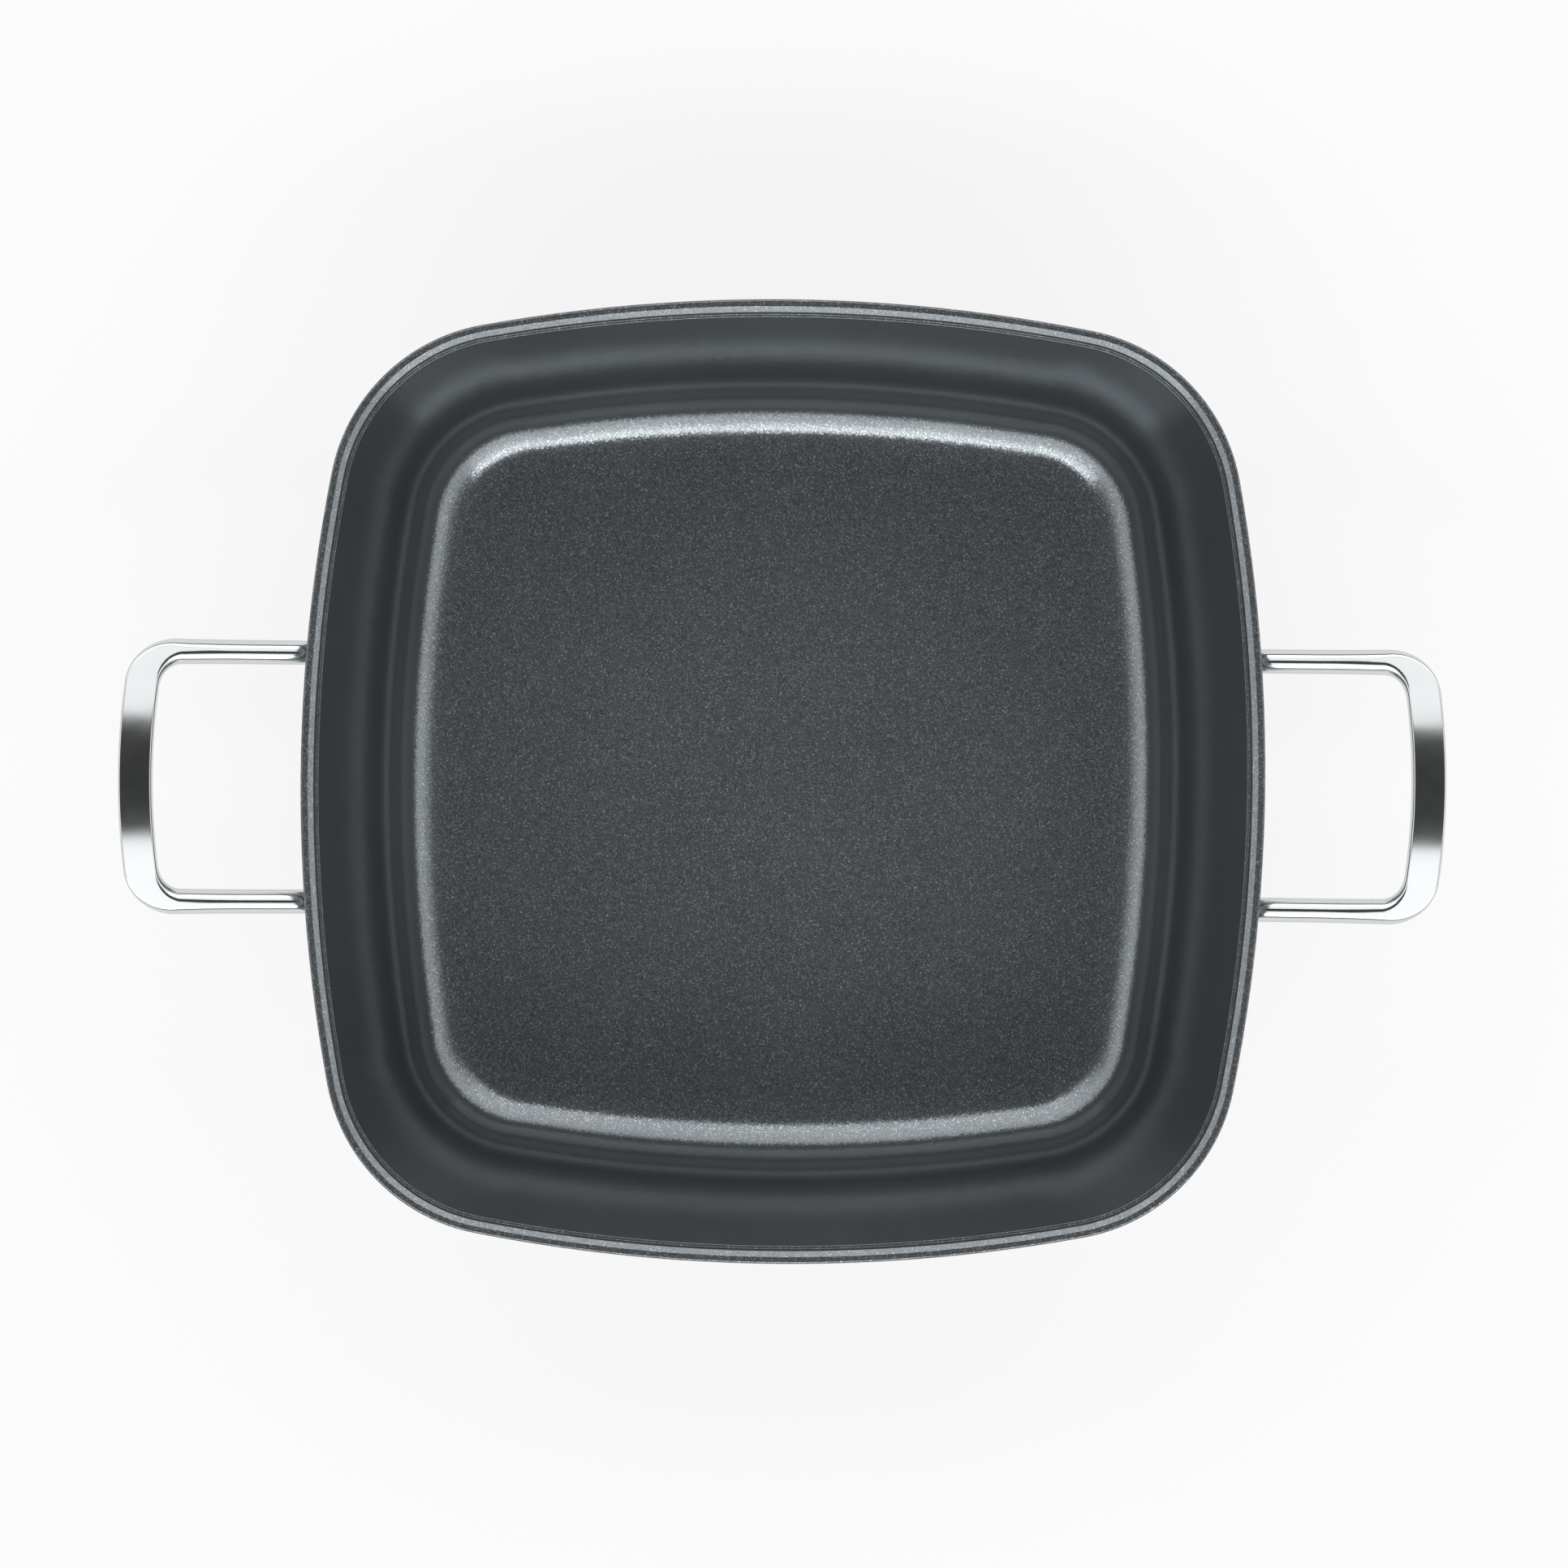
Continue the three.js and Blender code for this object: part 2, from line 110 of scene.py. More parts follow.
def linear(colour: str) -> tuple[float, float, float, float]:
    """Turns an sRGB hex colour to linear light.

    Args:
        colour: Six hex digits, such as "3a3e41".

    Returns:
        Linear red, green, blue and an alpha of 1.
    """
    shares = [int(colour[i : i + 2], 16) / 255 for i in (0, 2, 4)]
    light = [s / 12.92 if s <= 0.04045 else ((s + 0.055) / 1.055) ** 2.4 for s in shares]
    return (*light, 1.0)


def grey(level: float) -> tuple[float, float, float, float]:
    """Grey of a linear level, with an alpha of 1."""
    return (level, level, level, 1.0)


def add_node(
    tree: bpy.types.NodeTree, kind: str, values: dict | None = None, **settings: object
) -> bpy.types.Node:
    """Adds a node with its settings, values and links.

    Args:
        tree: Node tree that gets the node.
        kind: Blender's type name of the node, without the word ShaderNode that it starts with.
        values: Values of inputs by their names or numbers. A socket or a node's first output is linked.
        **settings: Properties of the node.

    Returns:
        The new node.
    """
    node = tree.nodes.new(f"ShaderNode{kind}")
    for name, setting in settings.items():
        setattr(node, name, setting)
    for key, value in (values or {}).items():
        if isinstance(value, bpy.types.Node):
            value = value.outputs[0]
        if isinstance(value, bpy.types.NodeSocket):
            tree.links.new(value, node.inputs[key])
        else:
            node.inputs[key].default_value = value
    return node


def new_material(name: str) -> tuple[bpy.types.Material, AddNode]:
    """Makes a material with an empty tree.

    Args:
        name: Material's name.

    Returns:
        The material, and add_node for its tree.
    """
    material = bpy.data.materials.new(name)
    material.use_nodes = True
    material.node_tree.nodes.clear()
    return material, partial(add_node, material.node_tree)


@dataclass(frozen=True)
class FlakedCoating:
    """Non-stick coating of dark resin full of fine metal flakes, sprayed on cast aluminium and baked.

    The flakes lie nearly flat and give the dark blue-grey a fine grain, which shows most where it
    mirrors a lamp. Here and there a cell is painted as a pale dot, a painted glint that stands for a
    flake catching the light.
    Real flakes are finer than this grain, which is drawn as coarse as it needs to show.
    """

    name: str = "flaked_nonstick_coating"
    resin: str = "707578"
    # Pale colour of the flakes, painted into the base colour as glints
    flake: str = "c8cbcd"
    grain_size: float = 0.0003
    grain_depth: float = 0.42
    grain_lean: float = 0.05
    # Share of the cells that get a painted glint
    glint_share: float = 0.12
    # Rise of the surface's normal where the grain and the painted glints start to show and where they show
    # in full
    steep: float = 0.75
    level: float = 0.98
    # Reach of the normal past the pan's axis from which the outside has its full share
    outside_full: float = 0.05
    outside_cover: float = 0.7
    ior: float = 1.36
    metallic: float = 0.72
    edge_tint: float = 0.6
    roughness: float = 0.13
    cloud_size: float = 0.045
    cloud_detail: float = 3.0
    cloud_range: tuple[float, float] = (0.3, 0.7)
    cloud_depth: float = 0.05

    def material(self) -> bpy.types.Material:
        """Makes the coating's material.

        Returns:
            The material.
        """
        material, add = new_material(self.name)
        place = add("TexCoord").outputs["Object"]
        surface = add("NewGeometry").outputs["Normal"]
        cells = add("TexVoronoi", {"Vector": place, "Scale": 1 / self.grain_size})
        chance = add("SeparateColor", {0: cells.outputs["Color"]})

        # The grain and the painted glints are thinned on the steep walls inside and kept full on the floor
        # and the outside
        rise = add("SeparateXYZ", {0: surface}).outputs["Z"]
        slope = add("Math", {0: rise}, operation="ABSOLUTE")
        inside = add("MapRange", {"Value": slope, "From Min": self.steep, "From Max": self.level})
        out = add("VectorMath", {0: place, 1: IN_PLAN}, operation="MULTIPLY")
        facing = add("VectorMath", {0: surface, 1: out}, operation="DOT_PRODUCT").outputs["Value"]
        outside = add(
            "MapRange", {"Value": facing, "From Max": self.outside_full, "To Max": self.outside_cover}
        )
        cover = add("Math", {0: inside, 1: outside}, operation="MAXIMUM")

        # Painted glints: a share of the cells is painted paler, more or less, for flakes that catch the
        # light
        glint_pick = add(
            "MapRange", {"Value": chance.outputs["Green"], "From Min": self.glint_share, "From Max": 0.0}
        )
        painted_glint = add("Math", {0: glint_pick, 1: cover}, operation="MULTIPLY")

        # Each flake leans its own way
        lot = add("TexWhiteNoise", {"Vector": cells.outputs["Position"]}).outputs["Color"]
        way = add("VectorMath", {0: lot, 1: MID_GREY}, operation="SUBTRACT")
        offset = add("VectorMath", {0: way, "Scale": self.grain_lean}, operation="SCALE")
        tilted = add("VectorMath", {0: surface, 1: offset}, operation="ADD")
        normal = add("VectorMath", {0: tilted}, operation="NORMALIZE")

        # Spraying leaves faint clouds under the grain
        cloud = add(
            "TexNoise", {"Vector": place, "Scale": 1 / self.cloud_size, "Detail": self.cloud_detail}
        )
        shade = add(
            "MapRange",
            {
                "Value": cloud,
                "From Min": self.cloud_range[0],
                "From Max": self.cloud_range[1],
                "To Min": 1 - self.cloud_depth,
                "To Max": 1 + self.cloud_depth,
            },
        )
        spread = add(
            "MapRange",
            {"Value": chance.outputs["Red"], "To Min": -self.grain_depth, "To Max": self.grain_depth},
        )
        grain = add("Math", {0: spread, 1: cover, 2: 1.0}, operation="MULTIPLY_ADD")
        tone = add("Math", {0: shade, 1: grain}, operation="MULTIPLY")
        resin = add("VectorMath", {0: linear(self.resin)[:3], "Scale": tone}, operation="SCALE")
        # Mixes the painted glints into the resin's colour
        colour = add(
            "Mix", {0: painted_glint, MIX_FIRST: resin, MIX_SECOND: linear(self.flake)}, data_type="RGBA"
        )
        shader = add(
            "BsdfPrincipled",
            {
                "Base Color": colour.outputs[MIX_RESULT],
                "Metallic": self.metallic,
                "Roughness": self.roughness,
                "IOR": self.ior,
                "Normal": normal,
                "Specular Tint": grey(self.edge_tint),
            },
        )
        add("OutputMaterial", {"Surface": shader})
        return material


@dataclass(frozen=True)
class PolishedSteel:
    """Stainless steel bar, bent and buffed to a mirror.

    The buffing leaves the bar slightly uneven, so lamps run along it in wavering lines.
    """

    name: str = "polished_stainless_steel"
    colour: str = "d8dbdc"
    edge_tint: float = 0.8
    roughness: float = 0.13
    haze: float = 0.03
    haze_size: float = 0.006
    haze_detail: float = 4.0
    wave_size: float = 0.008
    wave_detail: float = 0.0
    wave_height: float = 0.000025

    def material(self) -> bpy.types.Material:
        """Makes the bar's material.

        Returns:
            The material.
        """
        material, add = new_material(self.name)
        place = add("TexCoord").outputs["Object"]
        haze = add("TexNoise", {"Vector": place, "Scale": 1 / self.haze_size, "Detail": self.haze_detail})
        roughness = add(
            "MapRange",
            {"Value": haze, "To Min": self.roughness - self.haze, "To Max": self.roughness + self.haze},
        )
        wave = add("TexNoise", {"Vector": place, "Scale": 1 / self.wave_size, "Detail": self.wave_detail})
        surface = add("Bump", {"Distance": self.wave_height, "Height": wave})
        shader = add(
            "BsdfPrincipled",
            {
                "Base Color": linear(self.colour),
                "Metallic": 1.0,
                "Roughness": roughness,
                "Normal": surface,
                "Specular Tint": grey(self.edge_tint),
            },
        )
        add("OutputMaterial", {"Surface": shader})
        return material


@dataclass(frozen=True)
class TurnedMetal:
    """Metal that was rolled or turned and left plain, such as a screw or a machined face.

    Fine tool marks blur what it mirrors, and the grey varies a little from place to place. Real
    marks are finer, and these are drawn as coarse as they need to show.
    """

    name: str
    colour: str
    roughness: float
    mark_size: float = 0.0004
    mark_height: float = 0.000004
    mottle_size: float = 0.003
    mottle_detail: float = 3.0
    mottle_depth: float = 0.12

    def material(self) -> bpy.types.Material:
        """Makes the plain metal's material.

        Returns:
            The material.
        """
        material, add = new_material(self.name)
        place = add("TexCoord").outputs["Object"]
        mottle = add(
            "TexNoise", {"Vector": place, "Scale": 1 / self.mottle_size, "Detail": self.mottle_detail}
        )
        shade = add(
            "MapRange",
            {"Value": mottle, "To Min": 1 - self.mottle_depth, "To Max": 1 + self.mottle_depth},
        )
        colour = add("VectorMath", {0: linear(self.colour)[:3], "Scale": shade}, operation="SCALE")
        marks = add("TexNoise", {"Vector": place, "Scale": 1 / self.mark_size})
        surface = add("Bump", {"Distance": self.mark_height, "Height": marks})
        shader = add(
            "BsdfPrincipled",
            {"Base Color": colour, "Metallic": 1.0, "Roughness": self.roughness, "Normal": surface},
        )
        add("OutputMaterial", {"Surface": shader})
        return material


@dataclass(frozen=True)
class PressedBaseSteel:
    """Magnetic steel sheet, brushed along X, pressed into the casting through rows of round holes.

    The brushing draws fine straight lines, and the softer casting fills each hole with a paler dot.
    Real brush lines are finer, and these are drawn as coarse as they need to show.
    """

    name: str = "brushed_base_steel"
    steel: str = "a7a9ab"
    casting: str = "c4c6c8"
    steel_roughness: float = 0.34
    casting_roughness: float = 0.46
    line_width: float = 0.00035
    line_length: float = 0.03
    line_height: float = 0.000006
    line_dark: float = 0.86
    line_pale: float = 1.1
    dot_pitch: float = 0.011
    dot_radius: float = 0.0021
    dot_edge: float = 0.00015

    def material(self) -> bpy.types.Material:
        """Makes the sheet's material.

        Returns:
            The material.
        """
        material, add = new_material(self.name)
        place = add("TexCoord").outputs["Object"]
        grid = (1 / self.line_length, 1 / self.line_width, 1.0)
        stretch = add("Mapping", {"Vector": place, "Scale": grid})
        lines = add("TexNoise", {"Vector": stretch, "Scale": 1.0})
        pitch = (self.dot_pitch, self.dot_pitch, 1.0)
        cell = add("VectorMath", {0: place, 1: pitch}, operation="MODULO")
        folded = add("VectorMath", {0: cell}, operation="ABSOLUTE")
        middle = (self.dot_pitch / 2, self.dot_pitch / 2, 0.0)
        gap = add("VectorMath", {0: folded, 1: middle}, operation="DISTANCE")
        dot = add(
            "MapRange",
            {
                "Value": gap.outputs["Value"],
                "From Min": self.dot_radius + self.dot_edge,
                "From Max": self.dot_radius - self.dot_edge,
            },
        )
        shade = add("MapRange", {"Value": lines, "To Min": self.line_dark, "To Max": self.line_pale})
        steel = add("VectorMath", {0: linear(self.steel)[:3], "Scale": shade}, operation="SCALE")
        colour = add(
            "Mix", {0: dot, MIX_FIRST: steel, MIX_SECOND: linear(self.casting)}, data_type="RGBA"
        )
        roughness = add(
            "MapRange", {"Value": dot, "To Min": self.steel_roughness, "To Max": self.casting_roughness}
        )
        surface = add("Bump", {"Distance": self.line_height, "Height": lines})
        shader = add(
            "BsdfPrincipled",
            {
                "Base Color": colour.outputs[MIX_RESULT],
                "Metallic": 1.0,
                "Roughness": roughness,
                "Normal": surface,
            },
        )
        add("OutputMaterial", {"Surface": shader})
        return material


@dataclass(frozen=True)
class Corner:
    """Corner of a section: distance out from the axis, height and rounding radius."""

    out: float
    z: float
    radius: float = 0.0

    def at(self) -> Vector:
        """Corner's place in the section."""
        return Vector((self.out, self.z))


def rounded(corners: list[Corner], sag: float) -> list[Vector]:
    """Rounds the corners of an open section.

    Args:
        corners: Corners in order, of which the first and the last stay sharp.
        sag: Largest distance between a rounding and its chords.

    Returns:
        Points of the section in order.
    """
    points = [corners[0].at()]
    for before, corner, after in zip(corners, corners[1:], corners[2:]):
        at = corner.at()
        if corner.radius == 0:
            points.append(at)
            continue
        back = (before.at() - at).normalized()
        ahead = (after.at() - at).normalized()
        turn = HALF_TURN - back.angle(ahead)
        tangent = corner.radius * math.tan(turn / 2)
        centre = at + (back + ahead).normalized() * corner.radius / math.cos(turn / 2)
        first = at + back * tangent - centre
        last = at + ahead * tangent - centre
        start = math.atan2(first.y, first.x)
        sweep = (math.atan2(last.y, last.x) - start + HALF_TURN) % FULL_TURN - HALF_TURN
        step = 2 * math.acos(1 - min(sag / corner.radius, 1.0))
        count = max(FEWEST_STEPS, math.ceil(turn / step))
        for i in range(count + 1):
            angle = start + sweep * i / count
            points.append(centre + corner.radius * Vector((math.cos(angle), math.sin(angle))))
    points.append(corners[-1].at())
    return points


def activate(made: bpy.types.Object) -> None:
    """Selects an object alone and makes it the active one.

    Args:
        made: Object to select.
    """
    bpy.ops.object.select_all(action="DESELECT")
    made.select_set(True)
    bpy.context.view_layer.objects.active = made


def apply_modifier(made: bpy.types.Object, kind: str, **settings: object) -> None:
    """Adds a modifier to an object and applies it.

    Args:
        made: Object that is changed.
        kind: Blender's type name of the modifier.
        **settings: Properties of the modifier.
    """
    activate(made)
    modifier = made.modifiers.new(kind, kind)
    for name, setting in settings.items():
        setattr(modifier, name, setting)
    bpy.ops.object.modifier_apply(modifier=modifier.name)


def smooth(made: bpy.types.Object) -> None:
    """Smooths all but the sharp edges of an object."""
    activate(made)
    bpy.ops.object.shade_smooth_by_angle(angle=SMOOTH_ANGLE)


def keep_flat(made: bpy.types.Object) -> None:
    """Lets the flat stretches of a smoothed object look flat beside its small roundings."""
    apply_modifier(made, "WEIGHTED_NORMAL", keep_sharp=True)


def open_mesh(name: str) -> bpy.types.Object:
    """Adds an empty mesh object at the origin and enters edit mode on it.

    Args:
        name: Object's name.

    Returns:
        The new object, active and in edit mode.
    """
    bpy.ops.object.select_all(action="DESELECT")
    bpy.ops.mesh.primitive_plane_add(enter_editmode=True)
    bpy.ops.mesh.delete(type="VERT")
    made = bpy.context.object
    made.name = name
    made.data.name = name
    return made


def close_mesh(made: bpy.types.Object) -> None:
    """Merges doubles, turns faces outwards, leaves edit mode and smooths all but sharp edges.

    Args:
        made: Object in edit mode.
    """
    bpy.ops.mesh.select_all(action="SELECT")
    bpy.ops.mesh.remove_doubles(threshold=WELD)
    bpy.ops.mesh.normals_make_consistent(inside=False)
    bpy.ops.object.mode_set(mode="OBJECT")
    smooth(made)


def place_point(at: Vector) -> None:
    """Adds a lone selected vertex to the mesh in edit mode."""
    bpy.ops.mesh.primitive_plane_add(size=WELD, location=at)
    bpy.ops.mesh.merge(type="CENTER")


def select_newest(made: bpy.types.Object, count: int) -> None:
    """Selects the newest vertices of the mesh in edit mode, and no others.

    Args:
        made: Object in edit mode.
        count: Vertices to select.
    """
    mesh = bmesh.from_edit_mesh(made.data)
    start = len(mesh.verts) - count
    for vertex in mesh.verts:
        vertex.select_set(vertex.index >= start)
    mesh.select_flush_mode()
    bmesh.update_edit_mesh(made.data)


def loft(made: bpy.types.Object, ring: Callable[..., None], places: Sequence, count: int) -> None:
    """Adds rings to the mesh in edit mode and bridges each to the one before.

    Args:
        made: Object in edit mode.
        ring: Function that adds the ring at a place.
        places: Places of the rings in order.
        count: Vertices in each ring.
    """
    for number, place in enumerate(places):
        ring(place)
        if number > 0:
            select_newest(made, 2 * count)
            bpy.ops.mesh.bridge_edge_loops()


def turned(name: str, corners: list[Corner], sag: float, sides: int) -> bpy.types.Object:
    """Spins a section that starts and ends on the axis about Z.

    Args:
        name: Object's name.
        corners: Corners of the section from the lower end of the axis to the upper one.
        sag: Largest distance between a rounding and its chords.
        sides: Steps of the full turn.

    Returns:
        The turned object, in object mode.
    """
    made = open_mesh(name)
    points = rounded(corners, sag)
    place_point(Vector((points[0].x, 0, points[0].y)))
    for before, after in zip(points, points[1:]):
        move = (after.x - before.x, 0, after.y - before.y)
        bpy.ops.mesh.extrude_vertices_move(TRANSFORM_OT_translate={"value": move})
    bpy.ops.mesh.select_all(action="SELECT")
    bpy.ops.mesh.spin(steps=sides, angle=FULL_TURN, center=ORIGIN, axis=UP)
    close_mesh(made)
    return made


def combine(made: bpy.types.Object, tool: bpy.types.Object, operation: str) -> None:
    """Joins a tool object to a piece or cuts it out of the piece, and removes the tool.

    Args:
        made: Piece that is changed.
        tool: Object that is added or cut out.
        operation: "UNION" or "DIFFERENCE".
    """
    apply_modifier(made, "BOOLEAN", operation=operation, solver="EXACT", object=tool)
    bpy.data.objects.remove(tool)
    smooth(made)


def copy_of(made: bpy.types.Object, name: str) -> bpy.types.Object:
    """Copies an object with a mesh of its own and leaves the copy selected and active.

    Args:
        made: Object to copy.
        name: Copy's name.

    Returns:
        The copy.
    """
    activate(made)
    bpy.ops.object.duplicate(linked=False)
    twin = bpy.context.object
    twin.name = name
    twin.data.name = name
    return twin


def settle(made: bpy.types.Object, place: Matrix) -> None:
    """Puts an object at a place and applies the place to its mesh.

    Args:
        made: Object at the origin.
        place: Where the object goes.
    """
    activate(made)
    made.matrix_world = place
    bpy.ops.object.transform_apply(location=True, rotation=True, scale=True)


def dress(made: bpy.types.Object, node: str, slot: Slot, *materials: bpy.types.Material) -> None:
    """Gives a piece its materials and lets it stand for a CAD node.

    Args:
        made: Finished piece.
        node: CAD node that the piece replaces.
        slot: Not used; the record's slot that the finish belongs to.
        *materials: Materials of the piece's slots in order.
    """
    for material in materials:
        made.data.materials.append(material)
    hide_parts(node)
    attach(made, BODY)


@dataclass(frozen=True)
class Outline:
    """Bowed square with round corners, whose radii run from the floor's values to the rim's."""

    floor_half: float = 0.0973
    floor_side: float = 0.530
    floor_corner: float = 0.023
    rim_half: float = 0.142
    rim_side: float = 0.482
    rim_corner: float = 0.0547

    def part(self, half: float) -> float:
        """Part of the way from the floor's half width to the rim's."""
        return (half - self.floor_half) / (self.rim_half - self.floor_half)

    def side(self, half: float) -> float:
        """Radius of the bowed sides at a half width."""
        return lerp(self.floor_side, self.rim_side, self.part(half))

    def corner(self, half: float) -> float:
        """Radius of the corners at a half width."""
        return lerp(self.floor_corner, self.rim_corner, self.part(half))

    def back(self, half: float) -> float:
        """How far a side's centre lies behind the pan's axis."""
        return self.side(half) - half

    def corner_centre(self, half: float) -> float:
        """Finds the centre from which a corner touches both of its sides.

        Args:
            half: Half width of the outline.

        Returns:
            X and Y of the centre, which are alike.
        """
        back = self.back(half)
        reach = self.side(half) - self.corner(half)
        return (math.sqrt(2 * reach**2 - back**2) - back) / 2

    def side_turn(self, half: float) -> float:
        """Turn of a side from its middle to the corner."""
        centre = self.corner_centre(half)
        return math.atan2(centre, centre + self.back(half))


@dataclass(frozen=True)
class RingSteps:
    """Steps of a quarter of the pan's outline, along half a side and round a corner."""

    side: int = 12
    corner: int = 24

    def count(self) -> int:
        """Vertices in a quarter ring."""
        return 2 * self.side + self.corner + 1

    def quarter_ring(self, outline: Outline, point: Vector) -> None:
        """Adds a quarter of the outline to the mesh in edit mode.

        Args:
            outline: Pan's outline.
            point: Half width and height of the ring.
        """
        half, z = point
        back = outline.back(half)
        centre = outline.corner_centre(half)
        turn = outline.side_turn(half)
        place_point(Vector((half, 0, z)))
        bpy.ops.mesh.spin(steps=self.side, angle=-turn, center=(-back, 0, z), axis=UP)
        bend = QUARTER_TURN - 2 * turn
        bpy.ops.mesh.spin(steps=self.corner, angle=-bend, center=(centre, centre, z), axis=UP)
        bpy.ops.mesh.spin(steps=self.side, angle=-turn, center=(0, -back, z), axis=UP)

    def shell(self, name: str, outline: Outline, section: list[Vector]) -> bpy.types.Object:
        """Makes a closed shell from rings along a section.

        Args:
            name: Object's name.
            outline: Pan's outline.
            section: Half width and height of each ring in order.

        Returns:
            The shell, in object mode.
        """
        made = open_mesh(name)
        loft(made, partial(self.quarter_ring, outline), section, self.count())
        bpy.ops.mesh.select_all(action="SELECT")
        around = -OTHER_QUARTERS * QUARTER_TURN
        bpy.ops.mesh.spin(steps=OTHER_QUARTERS, angle=around, center=ORIGIN, axis=UP, dupli=True)
        bpy.ops.mesh.select_all(action="SELECT")
        bpy.ops.mesh.remove_doubles(threshold=WELD)
        bpy.ops.mesh.select_all(action="SELECT")
        bpy.ops.mesh.fill_holes(sides=0)
        close_mesh(made)
        return made


@dataclass
class PanBody:
    """Cast and coated pan: floor, sloping walls, stepped rim, bosses and a recess underneath."""

    outline: Outline = Outline()
    steps: RingSteps = RingSteps()
    coating: FlakedCoating = FlakedCoating()
    machined: TurnedMetal = TurnedMetal("machined_aluminium", colour="c9cbcd", roughness=0.36)
    height: float = 0.080
    floor_thickness: float = 0.006
    wall_thickness: float = 0.0035
    inner_fillet: float = 0.0265
    outer_fillet: float = 0.026
    rim_edge: float = 0.0008
    rim_flat: float = 0.0021
    bevel_width: float = 0.0017
    bevel_drop: float = 0.001
    band_height: float = 0.004
    band_taper: float = 0.0015
    step_drop: float = 0.0016
    step_taper: float = 0.0004
    ledge_width: float = 0.0009
    ledge_fall: float = 0.00025
    soft_edge: float = 0.0003
    hollow_edge: float = 0.0002
    flat_hold: float = 0.001
    sheet_half: float = 0.088
    sheet_thickness: float = 0.0015
    sheet_clearance: float = 0.0003
    recess_edge: float = 0.0003
    sag: float = 0.000015

    def wall_head(self) -> Corner:
        """Finds the upper end of the inner wall.

        Returns:
            Corner at the edge of the lid's ledge.
        """
        inset = self.rim_flat + self.bevel_width + self.step_taper + self.ledge_width
        drop = self.bevel_drop + self.step_drop + self.ledge_fall
        return Corner(self.outline.rim_half - inset, self.height - drop, self.soft_edge)

    def lean(self) -> float:
        """Finds the lean of the wall, where the line from its head touches the fillet.

        Returns:
            Angle from upright.
        """
        head = self.wall_head()
        run = head.out - self.outline.floor_half
        rise = head.z - self.floor_thickness - self.inner_fillet
        return math.acos(self.inner_fillet / math.hypot(run, rise)) - math.atan2(rise, run)

    def inside_half(self, z: float) -> float:
        """Half width of the line of the inner wall at a height."""
        head = self.wall_head()
        return head.out - (head.z - z) * math.tan(self.lean())

    def outside_half(self, z: float) -> float:
        """Half width of the line of the outer wall at a height."""
        return self.inside_half(z) + self.wall_thickness / math.cos(self.lean())

    def outside_at(self, z: float, y: float) -> float:
        """Finds the outer wall on the right side.

        Args:
            z: Height.
            y: Distance from mid-side.

        Returns:
            X of the wall.
        """
        half = self.outside_half(z)
        side = self.outline.side(half)
        return half - side + math.sqrt(side**2 - y**2)

    def section(self) -> list[Vector]:
        """Draws the casting's section, from the floor over the rim to the recess.

        Returns:
            Half width and height of each ring in order.
        """
        rim = self.outline.rim_half
        head = self.wall_head()
        ledge = Corner(head.out + self.ledge_width, head.z + self.ledge_fall, self.hollow_edge)
        step = Corner(ledge.out + self.step_taper, ledge.z + self.step_drop, self.soft_edge)
        bevel = Corner(step.out + self.bevel_width, self.height, self.soft_edge)
        band_foot = self.height - self.band_height
        taper_foot = band_foot - self.band_taper
        recess = self.sheet_half + self.sheet_clearance
        corners = [
            Corner(self.outline.floor_half - self.flat_hold, self.floor_thickness),
            Corner(self.inside_half(self.floor_thickness), self.floor_thickness, self.inner_fillet),
            head,
            ledge,
            step,
            bevel,
            Corner(rim, self.height, self.rim_edge),
            Corner(rim, band_foot, self.soft_edge),
            Corner(self.outside_half(taper_foot), taper_foot, self.soft_edge),
            Corner(self.outside_half(0), 0, self.outer_fillet),
            Corner(recess + self.recess_edge + self.flat_hold, 0),
            Corner(recess, 0, self.recess_edge),
            Corner(recess, self.sheet_thickness),
            Corner(recess - self.flat_hold, self.sheet_thickness),
        ]
        return rounded(corners, self.sag)

    def build(self, seats: "ScrewSeats") -> bpy.types.Object:
        """Makes the casting with its bosses and their blind holes, and dresses it.

        Args:
            seats: Places of the four handle screws.

        Returns:
            The pan's body, coated all over but on the machined face that it stands on.
        """
        made = self.steps.shell("cast_pan", self.outline, self.section())
        for place in seats.places():
            boss = seats.boss(self.wall_thickness / 2)
            settle(boss, place)
            combine(made, boss, "UNION")
        for place in seats.places():
            hole = seats.hole(seats.blind_wall - self.wall_thickness, seats.boss_height)
            settle(hole, place)
            combine(made, hole, "DIFFERENCE")
        for face in made.data.polygons:
            if face.center.z < WELD and face.normal.z < 0:
                face.material_index = MACHINED_SLOT
        keep_flat(made)
        dress(made, "pan_body", Slot.COATING, self.coating.material(), self.machined.material())
        return made


